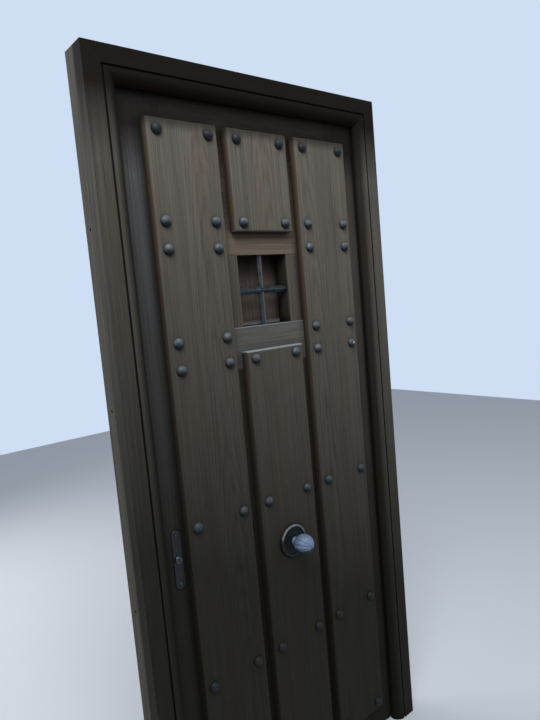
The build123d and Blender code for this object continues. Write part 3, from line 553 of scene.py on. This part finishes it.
UPRIGHT_TIMBERS = {
    "leaf": ("lock_stile", "hinge_stile", "window_muntin_left", "window_muntin_right", "window_panel_left",
             "window_panel_right", "upper_panel", "middle_panel", "lower_panel"),
    "frame": ("jamb_left", "jamb_right"),
    "hatch": ("hatch_board",),
}
LEVEL_TIMBERS = {
    "leaf": ("top_rail", "window_head_rail", "window_sill_rail", "mid_rail", "lower_rail", "bottom_rail",
             "top_panel"),
    "frame": ("head",),
}

# Every timber has a seed of its own, so no two repeat one figure. The planks take 1 to 4.
seed = 10
for grain, timbers in (("Z", UPRIGHT_TIMBERS), ("X", LEVEL_TIMBERS)):
    for kind, nodes in timbers.items():
        for node in nodes:
            seed += 1
            # Each timber's strength of painted shade in hollows, its factors of painted light and shade, and
            # painted shade in its window reveal.
            own = dict(dirt=HOLLOW_SHADE[kind], tint=PAINTED_LIGHT_FACTORS.get(node), reveal="window" in node)
            # The sill rail has less painted shade in its hollows and a painted highlight on its top front
            # edge.
            if node == "window_sill_rail":
                own.update(dirt=SILL_HOLLOW_SHADE, wiped=(WINDOW_BOTTOM, LEAF_FRONT_Y + 1.5 * MM))
            dress(node, stained_timber(f"timber_{node}", kind, grain, seed, **own))


# Metals

SPECK_TONE = srgb(58, 50, 44)
BARE_SPOT = (0.320, FACE_Y - 12 * MM, 1.382)


def worn_studs_with_painted_light(name):
    """Iron of the studs with painted light: paler on its upper side and dark below, as light falls from
    above, painted darker towards the foot of the door and in painted shadow right under the head, with one
    bare spot rubbed on a stud beside the window."""
    iron = Finish(name)
    cloud = iron.noise(iron.place, 60.0, 3.0, 0.55)
    grime = iron.noise(iron.place, 480.0, 3.0, 0.6)
    height = iron.coordinate("Z")
    # Painted light: the upper side is paler and the underside darker, as light falls from above.
    upwards = iron.coordinate("Z", iron.node("ShaderNodeNewGeometry").outputs["Normal"])
    upwards = iron.plus(upwards, iron.ramp(cloud, 0.3, 0.7, -0.12, 0.12))
    painted_top_light = iron.mix(iron.ramp(cloud, 0.35, 0.68), srgb(82, 90, 95), srgb(116, 124, 128))
    iron.colour = iron.mix(iron.ramp(upwards, -0.45, 0.55), srgb(24, 31, 31), painted_top_light)
    # Painted shade: darker towards the foot of the door.
    iron.coat(iron.ramp(height, 0.55, 1.55, 0.97, 0.0), (0.009, 0.010, 0.010))
    # Painted shadow right under the head.
    shadow_low, shadow_high, strength = TOP_SHADOW["stud"]
    iron.coat(iron.ramp(height, shadow_low, shadow_high, 0.0, strength), (0.010, 0.011, 0.012))
    iron.coat(iron.times(iron.ramp(grime, 0.56, 0.76), 0.30), SPECK_TONE)
    from_spot = iron.vector_math("DISTANCE", iron.place, BARE_SPOT)
    iron.coat(iron.ramp(from_spot, 3.0 * MM, 4.5 * MM, 0.9, 0.0), srgb(186, 186, 180))
    normal = iron.bump(grime, 0.10, 0.3 * MM, iron.bump(cloud, 0.15, 1 * MM))
    return iron.finish(iron.ramp(grime, 0.3, 0.7, 0.48, 0.62), normal, metallic=0.20, gloss=0.28)


def forged_iron(name, dark, light, wear, warm_side=False):
    """Blackened iron, beaten smooth, a little paler in soft clouds and on its edges, with specks of dirt. The
    warm side, from near the bar's middle line on, is painted paler and browner with warm light."""
    iron = Finish(name)
    cloud = iron.noise(iron.place, 70.0, 2.0, 0.5)
    grime = iron.noise(iron.place, 480.0, 3.0, 0.6)
    iron.colour = iron.mix(iron.ramp(cloud, 0.35, 0.68), dark, light)
    iron.coat(iron.times(iron.ramp(grime, 0.56, 0.76), 0.30), SPECK_TONE)
    iron.coat(iron.times(iron.edge_mask(1 * MM, 0.04, 0.4), 0.45), wear)
    # Painted warm light on one side of the bar.
    if warm_side:
        iron.coat(iron.ramp(iron.coordinate("X"), -3.2 * MM, -2.4 * MM, 0.0, 0.65), srgb(96, 88, 80))
    normal = iron.bump(grime, 0.08, 0.3 * MM, iron.bump(cloud, 0.12, 1 * MM))
    return iron.finish(iron.ramp(grime, 0.3, 0.7, 0.40, 0.52), normal, metallic=0.35)


def cast_pewter(name, middle_z):
    """Worn cast grey metal, with painted shade in its hollows and painted shade with a teal patina on its
    underside, below middle_z.
    """
    pewter = Finish(name)
    cloud = pewter.noise(pewter.place, 90.0, 4.0, 0.6)
    speck = pewter.noise(pewter.place, 900.0, 3.0, 0.6)
    pewter.colour = pewter.mix(pewter.ramp(cloud, 0.3, 0.7), srgb(108, 124, 152), srgb(136, 153, 182))
    # Painted shade with a teal patina on the underside.
    level = pewter.plus(pewter.coordinate("Z"), pewter.ramp(cloud, 0.2, 0.8, -4 * MM, 4 * MM))
    pewter.coat(pewter.ramp(level, middle_z - 12 * MM, middle_z - 4 * MM, 0.95, 0.0), srgb(18, 30, 34))
    # Painted shade in the hollows.
    pewter.coat(pewter.times(pewter.hollow_mask(9 * MM), 0.95), srgb(20, 26, 38))
    rough = pewter.ramp(speck, 0.3, 0.7, 0.50, 0.64)
    return pewter.finish(rough, pewter.bump(speck, 0.15, 0.3 * MM), metallic=0.25)


def dirty_dish(name, middle, rim_radius):
    """Cast metal of the knob's plate: bare on its rim and dark with old dirt in the dish inside it, with
    painted shade and a teal patina on its lower side and painted shade in its hollows. The dirt goes by the
    distance from the knob's axis."""
    metal = Finish(name)
    from_middle = metal.vector_math("SUBTRACT", metal.place, middle)
    from_axis = metal.vector_math("LENGTH", metal.vector_math("MULTIPLY", from_middle, (1, 0, 1)))
    cloud = metal.noise(metal.place, 120.0, 4.0, 0.6)
    uneven = metal.plus(from_axis, metal.ramp(cloud, 0.2, 0.8, -2 * MM, 2 * MM))
    # Painted shade with a teal patina on the lower side.
    up = metal.plus(metal.coordinate("Z", from_middle), metal.ramp(cloud, 0.2, 0.8, -8 * MM, 8 * MM))
    bare = metal.mix(metal.ramp(cloud, 0.35, 0.7), srgb(96, 100, 104), srgb(138, 140, 142))
    bare = metal.mix(metal.ramp(up, 6 * MM, 20 * MM, 0.96, 0.0), bare, srgb(14, 25, 27))
    on_rim = metal.ramp(uneven, rim_radius - 7 * MM, rim_radius - 4.5 * MM)
    metal.colour = metal.mix(on_rim, srgb(12, 20, 19), bare)
    # Painted shade in the hollows.
    metal.coat(metal.times(metal.hollow_mask(10 * MM), 0.7), srgb(14, 18, 18))
    rough = metal.ramp(uneven, rim_radius - 8 * MM, rim_radius - 4 * MM, 0.75, 0.42)
    return metal.finish(rough, metal.bump(cloud, 0.35, 1 * MM), metallic=0.2, gloss=0.3)


def satin_metal(name, tint, along=(1, 1, 1)):
    """Machined metal with fine brush lines and a few finger marks."""
    metal = Finish(name)
    brush = metal.noise(metal.mapped(scale=along), 900.0, 2.0, 0.5)
    marks = metal.noise(metal.place, 60.0, 3.0, 0.6)
    dull = tuple(0.8 * value for value in tint)
    metal.colour = metal.mix(metal.ramp(brush, 0.3, 0.7), dull, tint)
    rough = metal.plus(metal.ramp(marks, 0.35, 0.7, 0.26, 0.42), metal.ramp(brush, 0.3, 0.7, 0.0, 0.06))
    return metal.finish(rough, metal.bump(brush, 0.10, 0.2 * MM), metallic=1.0)


# The grille's iron is painted darker than the other iron: painted shade in the window's recess.
SHADED_BAR_TONES = (srgb(34, 43, 48), srgb(54, 66, 72), srgb(92, 102, 106))

iron = forged_iron("blackened_iron", srgb(42, 49, 54), srgb(66, 75, 81), srgb(112, 120, 124))
stud_iron = worn_studs_with_painted_light("stud_iron_with_painted_light")
bar_iron = forged_iron("grille_iron", *SHADED_BAR_TONES)
upright_iron = forged_iron("grille_upright_iron", *SHADED_BAR_TONES, warm_side=True)
pewter = cast_pewter("cast_pewter", sum(place_of("pull_knob"))[2] / 2)
steel = satin_metal("satin_steel", srgb(168, 168, 166))
pin_steel = satin_metal("turned_steel", srgb(176, 176, 174), (1, 1, 0.05))
brass = satin_metal("dull_brass", srgb(88, 80, 64))
dull_steel = satin_metal("dull_steel", srgb(78, 84, 90))
plate_iron = forged_iron("lock_plate_iron", srgb(17, 20, 25), srgb(27, 31, 37), srgb(48, 53, 60))

SLOT_MATERIALS = {"black_iron": iron, "pewter": pewter, "bright_steel": steel, "brass": brass}
for subpart in frame["record"]["subparts"]:
    if subpart["material_slot"] in SLOT_MATERIALS:
        dress(subpart["node"], SLOT_MATERIALS[subpart["material_slot"]])
for node in ("hinge_pins", "knob_rod", "spindle"):
    dress(node, pin_steel)
dress("cylinder_body", dull_steel)
for node in ("escutcheon_outer", "escutcheon_inner"):
    dress(node, plate_iron)


# Planks

PLANK_ARRIS = 5 * MM
ARRIS_STEPS = 6
PLANK_STEPS_X, PLANK_STEP_Z = 46, 11 * MM

# The arris wanders by a share of its width, in waves of this length.
ARRIS_WANDER, WANDER_LENGTH = 0.35, 0.12

# Depth of the face's hollow and of its unevenness, and how long the unevenness is across and along the grain.
PLANK_HOLLOW, PLANK_UNEVEN = 0.4 * MM, 0.30 * MM
UNEVEN_ACROSS, UNEVEN_ALONG = 0.16, 0.7


def rim_line(length, steps, worn_low, worn_high, thickness):
    """Places and falls along one direction of a board, for every line across it. At each end the fall runs
    up the straight side and over a quarter circle of the worn arris; between the ends it is nothing."""
    turn = np.linspace(0, pi / 2, ARRIS_STEPS)
    inset, fall = PLANK_ARRIS * (1 - np.cos(turn)), PLANK_ARRIS * (1 - np.sin(turn))
    share = np.linspace(0, 1, steps)[1:-1, None]
    low_inset, low_fall = inset[:, None] * worn_low, fall[:, None] * worn_low
    high_inset, high_fall = inset[:, None] * worn_high, fall[:, None] * worn_high
    start, end = low_inset[-1], length - high_inset[-1]
    edge = np.zeros_like(worn_low)[None]
    places = np.concatenate([edge, low_inset, start + (end - start) * share,
                             length - high_inset[::-1], edge + length])
    falls = np.concatenate([edge + thickness, low_fall, 0 * share * worn_low, high_fall[::-1],
                            edge + thickness])
    return places, falls


def plank(node, number):
    """Board as a closed pillow: at each crossing of its grid the depth is the larger of two falls, one from
    its sides and one from its ends. The arrises wander in width, the face is slightly hollow and uneven, and
    a fan closes the back."""
    low, high = place_of(node)
    width, thickness, length = high - low
    steps_x, steps_z = PLANK_STEPS_X, max(24, round(length / PLANK_STEP_Z))
    z_even = np.linspace(0, length, steps_z + 2 * ARRIS_STEPS)
    x_even = np.linspace(0, width, steps_x + 2 * ARRIS_STEPS)
    worn = [1 + ARRIS_WANDER * ripple(line / WANDER_LENGTH, number * 9.0 + k, 40 + k)
            for k, line in enumerate((z_even, z_even, x_even, x_even))]
    x, fall_x = rim_line(width, steps_x, worn[0], worn[1], thickness)
    z, fall_z = rim_line(length, steps_z, worn[2], worn[3], thickness)
    z, fall_z = z.T, fall_z.T
    hollow = PLANK_HOLLOW * (1 - (2 * x / width - 1) ** 2)
    uneven = PLANK_UNEVEN * (1 + ripple(x / UNEVEN_ACROSS, z / UNEVEN_ALONG, 60 + number))
    rim = np.clip(np.minimum(np.minimum(x, width - x), np.minimum(z, length - z)) / (3 * PLANK_ARRIS), 0, 1)
    fall = np.maximum(np.maximum(fall_x, fall_z), (hollow + uneven) * rim)
    points = np.stack([low[0] + x, low[1] + fall, low[2] + z], axis=-1)
    index = np.arange(x.size).reshape(x.shape)
    border = np.concatenate([index[:, 0], index[-1, 1:], index[-2::-1, -1], index[0, -2:0:-1]])
    middle = points.reshape(-1, 3)[border].mean(axis=0)
    every = np.concatenate([points.reshape(-1, 3), middle[None]])
    return mesh_object(node + "_board", every,
                       [grid_faces(*x.shape)[:, ::-1], cap_faces(border, len(every) - 1, False)])


for number, name in enumerate(("left", "right", "upper_centre", "lower_centre"), 1):
    board = plank(f"plank_{name}", number)
    top = place_of(f"plank_{name}")[1][2]
    # The lower centre plank's top end has a painted highlight.
    wiped = (top - 1.4 * MM, FACE_Y + 30 * MM) if name == "lower_centre" else None
    stand_for(board, f"plank_{name}", "leaf",
              stained_timber(f"timber_plank_{name}", "plank", "Z", number, wiped=wiped))


# Studs

STUD_RADIUS, STUD_HEIGHT = 15 * MM, 12.5 * MM
STUD_SHANK, STUD_SHANK_LENGTH = 3 * MM, 42 * MM
STUD_SIDES, STUD_RINGS, FIRST_RING = 28, 10, 0.08
STRIKE_DEPTH, STRIKE_WAVES = 0.05, 1.1
ROW_DROPS = np.array([0, 225, 295, 533, 603, 1021, 1469, 1856]) * MM
STUD_ROWS = {"left": range(8), "right": range(8), "upper_centre": (0, 1), "lower_centre": (4, 5, 6, 7)}


def stud(x, z, seed):
    """Rose-headed stud: a cap of a sphere on a thin rim, flattened here and there by the hammer, closed by
    its flat underside, with a square shank that runs into the wood."""
    around = np.linspace(0, tau, STUD_SIDES, endpoint=False)
    ball = (STUD_RADIUS ** 2 + STUD_HEIGHT ** 2) / (2 * STUD_HEIGHT)
    rim_angle = np.arccos((ball - STUD_HEIGHT) / ball)
    polar = np.linspace(FIRST_RING, 1, STUD_RINGS)[:, None] * rim_angle
    strike = np.maximum(0, ripple(polar * np.cos(around) * STRIKE_WAVES,
                                  polar * np.sin(around) * STRIKE_WAVES, seed, 5))
    reach = ball * (1 - STRIKE_DEPTH * strike * np.cos(polar / rim_angle * pi / 2))
    radius = reach * np.sin(polar)
    rise = np.maximum(reach * np.cos(polar) - (ball - STUD_HEIGHT), 0)
    square = STUD_SHANK / np.maximum(np.abs(np.cos(around)), np.abs(np.sin(around)))
    radius = np.concatenate([radius, [square, square]])
    rise = np.concatenate([rise, np.zeros((1, STUD_SIDES)), np.full((1, STUD_SIDES), -STUD_SHANK_LENGTH)])
    rows = np.stack([x + radius * np.cos(around), FACE_Y - rise, z + radius * np.sin(around)], axis=-1)
    return closed_rows(rows)


top_row = place_of("studs_left")[1][2] - STUD_RADIUS
for group, rows in STUD_ROWS.items():
    low, high = place_of(f"studs_{group}")
    columns = (low[0] + STUD_RADIUS, high[0] - STUD_RADIUS)
    blocks = [stud(x, top_row - ROW_DROPS[row], 500 + 97 * row + round(x / MM))
              for row in rows for x in columns]
    stand_for(join(f"studs_{group}_forged", blocks), f"studs_{group}", "leaf", stud_iron)


# Pull knob

KNOB_LOBES, LOBE_POINTS = 12, 20
BALL_RADIUS = 30 * MM
NECK_RADIUS, WAIST_RADIUS = 12.5 * MM, 9.5 * MM
WAIST_LENGTH = 1.5 * MM
ROD_HOLE_RADIUS = 6 * MM
ROSETTE_BEAD = 3.4 * MM
SEAT_RADIUS = 17 * MM
DISH_DEPTH = 1.8 * MM

# The valleys' mean depth and how much it changes round the ball, as shares of the ball's radius, and the
# angle at which they are rubbed shallowest. A lower width power makes them narrower, and a lower fade power
# keeps them deep nearer to the poles.
VALLEY_DEPTH, VALLEY_CHANGE, RUBBED_AT = 0.080, 0.055, pi / 3
VALLEY_WIDTH_POWER, VALLEY_FADE_POWER = 0.40, 0.6

# The dimple at the ball's pole, as radius and depth.
DIMPLE = np.array([(0.4, 1.6), (2.2, 1.6), (2.7, 0.3)]) * MM


def lathe(radius, y, middle, around):
    """Turned surface round an axis along Y: every profile point makes a ring. Radius and y are one value for
    each ring, or one for each of its points."""
    angle = np.linspace(0, tau, around, endpoint=False)

    def all_round(line):
        return np.broadcast_to(line if line.ndim == 2 else line[:, None], (len(line), around))

    radius = all_round(radius)
    return np.stack([middle[0] + radius * np.cos(angle), all_round(y), middle[1] + radius * np.sin(angle)],
                    axis=-1)


def fluted_knob():
    """Ball of twelve plump lobes parted by narrow valleys, with a dimple at its pole, on a beaded neck. The
    ball's radius drops in the valleys by a share that rises with the sine of the angle from the pole, and
    the valleys are rubbed shallow on the upper right, where a hand takes the ball."""
    low, high = place_of("pull_knob")
    middle = ((low[0] + high[0]) / 2, (low[2] + high[2]) / 2)
    centre_y = low[1] + BALL_RADIUS
    angle = np.linspace(0, tau, KNOB_LOBES * LOBE_POINTS, endpoint=False)
    polar = np.linspace(0.10, pi - np.arcsin(WAIST_RADIUS / BALL_RADIUS), 70)[:, None]
    valley = 1 - np.abs(np.cos(KNOB_LOBES / 2 * angle)) ** VALLEY_WIDTH_POWER
    rubbed = VALLEY_DEPTH - VALLEY_CHANGE * np.cos(angle - RUBBED_AT)
    reach = BALL_RADIUS * (1 - rubbed * valley * np.sin(polar) ** VALLEY_FADE_POWER)
    radius, y = reach * np.sin(polar), centre_y - reach * np.cos(polar)
    ring = np.ones_like(angle)
    radius = np.concatenate([DIMPLE[:, :1] * ring, radius])
    y = np.concatenate([low[1] + DIMPLE[:, 1:] * ring, y])
    waist_end = centre_y + BALL_RADIUS + WAIST_LENGTH
    swell = np.linspace(0, pi, 14)[:, None]
    radius = np.concatenate([radius, (WAIST_RADIUS + (NECK_RADIUS - WAIST_RADIUS) * np.sin(swell)) * ring])
    y = np.concatenate([y, (waist_end + (high[1] - waist_end) * (1 - np.cos(swell)) / 2) * ring])
    return join("fluted_knob", [closed_rows(lathe(radius, y, middle, len(angle)))])


def rosette():
    """Turned back plate: a round rim bead, a dished ring inside it and a low seat for the neck."""
    low, high = place_of("knob_rosette")
    middle = ((low[0] + high[0]) / 2, (low[2] + high[2]) / 2)
    outer = (high[0] - low[0]) / 2
    thickness = high[1] - low[1]
    turn = np.linspace(0, pi, 16)
    rim_radius = outer - ROSETTE_BEAD + ROSETTE_BEAD * np.cos(turn)
    rim_rise = thickness - ROSETTE_BEAD + ROSETTE_BEAD * np.sin(turn)
    share = np.linspace(0, 1, 14)[1:]
    dish_radius = rim_radius[-1] + (SEAT_RADIUS - rim_radius[-1]) * share
    dish_rise = rim_rise[-1] - DISH_DEPTH * np.sin(pi * share)
    radius = np.concatenate([[outer], rim_radius, dish_radius, [NECK_RADIUS, ROD_HOLE_RADIUS]])
    rise = np.concatenate([[0], rim_rise, dish_rise, [rim_rise[-1], rim_rise[-1]]])
    return join("turned_rosette", [closed_rows(lathe(radius, high[1] - rise, middle, 128), flip=True)])


low, high = place_of("knob_rosette")
dish_metal = dirty_dish("knob_plate_metal", tuple(((low + high) / 2).tolist()), (high[0] - low[0]) / 2)
stand_for(fluted_knob(), "pull_knob", "leaf", pewter)
stand_for(rosette(), "knob_rosette", "leaf", dish_metal)


# Window grille

EYE_RADIUS, EYE_HALF_HEIGHT = 15 * MM, 12 * MM

# How much wider and higher the hammer has left the eye, and the cross bar's thickness at its left end, in
# the middle and at its right end, as shares of its plain thickness.
EYE_WIDER, EYE_HIGHER = 1.02, 1.1
CROSSBAR_SHARES = (1.16, 1.12, 1.0)

# The hammer marks' depth as a share of the bar's thickness, and their length.
MARK_DEPTH, MARK_LENGTH = 0.03, 0.05


def forged_bar(along, half_depth, half_height, place, seed):
    """Bar on edge, carried along a straight line: each section is a rounded square standing on its corner,
    |u|^p + |v|^p = 1 turned by 45 degrees, with slow hammer marks. half_depth and half_height are the
    section's reach at each place along the bar; place turns (along, u, v) into X, Y, Z."""
    angle = np.linspace(0, tau, 32, endpoint=False)
    power = 7
    turned = angle + pi / 4
    reach = (np.abs(np.cos(turned)) ** power + np.abs(np.sin(turned)) ** power) ** (-1 / power) / 2 ** 0.5
    marks = 1 - MARK_DEPTH * np.maximum(0, ripple(along[:, None] / MARK_LENGTH, angle / 1.5, seed, 6))
    u = half_depth[:, None] * reach * marks * np.cos(angle)
    v = half_height[:, None] * reach * marks * np.sin(angle)
    return closed_rows(np.stack(place(along[:, None] + 0 * u, u, v), axis=-1))


def grille():
    """Upright bar, and cross bar that swells into an eye where the upright passes through it."""
    low, high = place_of("grille_upright")
    middle_x, middle_y, middle_z = (low + high) / 2
    half = (high[0] - low[0]) / 2
    along = np.linspace(low[2], high[2], 90)
    even = np.full_like(along, half)
    upright = forged_bar(along, even, even, lambda s, u, v: (middle_x + v, middle_y + u, s), 71)
    low, high = place_of("grille_crossbar")
    along = np.linspace(low[0], high[0], 140)
    from_eye = np.clip(np.abs(along - middle_x) / EYE_RADIUS, 0, 1)
    swell = np.sqrt(1 - from_eye ** 2)
    half_depth = half + (EYE_RADIUS * EYE_WIDER - half) * swell
    thick = half * np.interp(along, (low[0], middle_x, high[0]), CROSSBAR_SHARES)
    half_height = thick + (EYE_HALF_HEIGHT * EYE_HIGHER - thick) * swell
    cross = forged_bar(along, half_depth, half_height, lambda s, u, v: (s, middle_y + u, middle_z + v), 72)
    for name, block, metal in (("upright", upright, upright_iron), ("crossbar", cross, bar_iron)):
        stand_for(join(f"forged_{name}", [block]), f"grille_{name}", "leaf", metal)


grille()


# Screws

FLAP_SCREW_RADIUS = 4 * MM
FLAP_MIDDLE = 17 * MM

# Each screw of a flap, as its height above the flap's middle and its place beside the flap's middle line.
FLAP_ZIGZAG = ((-44 * MM, 6 * MM), (0, -6 * MM), (44 * MM, 6 * MM))

# Node, body, slot, the axis and sign it faces along, the screws' distance from its middle, their radius.
SCREWED_PLATES = {
    "faceplate_screws": ("lock_faceplate", "leaf", "bright_steel", (0, -1), 47 * MM, 3.5 * MM),
    "strike_screws": ("strike_plate", "frame", "bright_steel", (0, 1), 26 * MM, 3.5 * MM),
    "escutcheon_outer_screws": ("escutcheon_outer", "leaf", "black_iron", (1, -1), 66 * MM, 3 * MM),
    "escutcheon_inner_screws": ("escutcheon_inner", "leaf", "black_iron", (1, 1), 66 * MM, 3 * MM),
}


def slotted_head(place, outwards, radius, slot_turn):
    """Countersunk screw head: chords across a disc carry a low dome, and the ones in the middle drop to the
    floor of the slot. outwards is the axis the head faces along, as (number, sign)."""
    half_slot, depth, dome = 0.16 * radius, 0.3 * radius, 0.14 * radius
    slot_angle = 0.17
    turn = np.linspace(0, pi / 2 - slot_angle, 7)
    side = np.concatenate([-np.cos(turn) * radius, [-half_slot, -half_slot]])
    across = np.concatenate([side, [-half_slot, half_slot], -side[::-1]])
    chord = np.sqrt(np.maximum(radius ** 2 - across ** 2, 0))
    along = np.linspace(-1, 1, 9) * chord[:, None]
    height = dome * (1 - (across[:, None] ** 2 + along ** 2) / radius ** 2)
    height[8:11] = -depth
    across = np.broadcast_to(across[:, None], along.shape)
    axis, sign = outwards
    points = np.zeros(along.shape + (3,))
    others = [k for k in range(3) if k != axis]
    points[..., axis] = sign * height
    points[..., others[0]] = across * np.cos(slot_turn) - along * np.sin(slot_turn)
    points[..., others[1]] = across * np.sin(slot_turn) + along * np.cos(slot_turn)
    faces = grid_faces(*along.shape)
    outward_is_left = (sign > 0) == (axis != 1)
    return points + np.asarray(place), [faces if outward_is_left else faces[:, ::-1]]


def screws(name, body, finish_slot, places, outwards, radius):
    """Row of screw heads, each with its slot turned its own way."""
    draw = np.random.default_rng(len(name))
    blocks = [slotted_head(place, outwards, radius, draw.uniform(0, pi)) for place in places]
    piece = join(name, blocks)
    piece.data.materials.append(SLOT_MATERIALS[finish_slot])
    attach(piece, body)


def flap_screws(body, number):
    """Screws of one flap of a butt hinge, three in a zigzag. The flap lies on the frame or on the leaf."""
    low, high = place_of(f"hinge_{body}_flap_{number}")
    x, sign = (low[0], -1) if body == "frame" else (place_of("hinge_stile")[1][0], 1)
    places = [(x, low[1] + FLAP_MIDDLE + beside, (low[2] + high[2]) / 2 + above)
              for above, beside in FLAP_ZIGZAG]
    screws(f"hinge_screws_{body}_{number}", body, "bright_steel", places, (0, sign), FLAP_SCREW_RADIUS)


def plate_screws(name, node, body, finish_slot, outwards, reach, radius):
    """Two screws on the face of a plate, one below and one above its middle."""
    low, high = place_of(node)
    axis, sign = outwards
    middle = (low + high) / 2
    middle[axis] = low[axis] if sign < 0 else high[axis]
    screws(name, body, finish_slot, [middle + (0, 0, drop) for drop in (-reach, reach)], outwards, radius)


for number in (1, 2, 3):
    for body in ("frame", "leaf"):
        flap_screws(body, number)
for name, plate in SCREWED_PLATES.items():
    plate_screws(name, *plate)
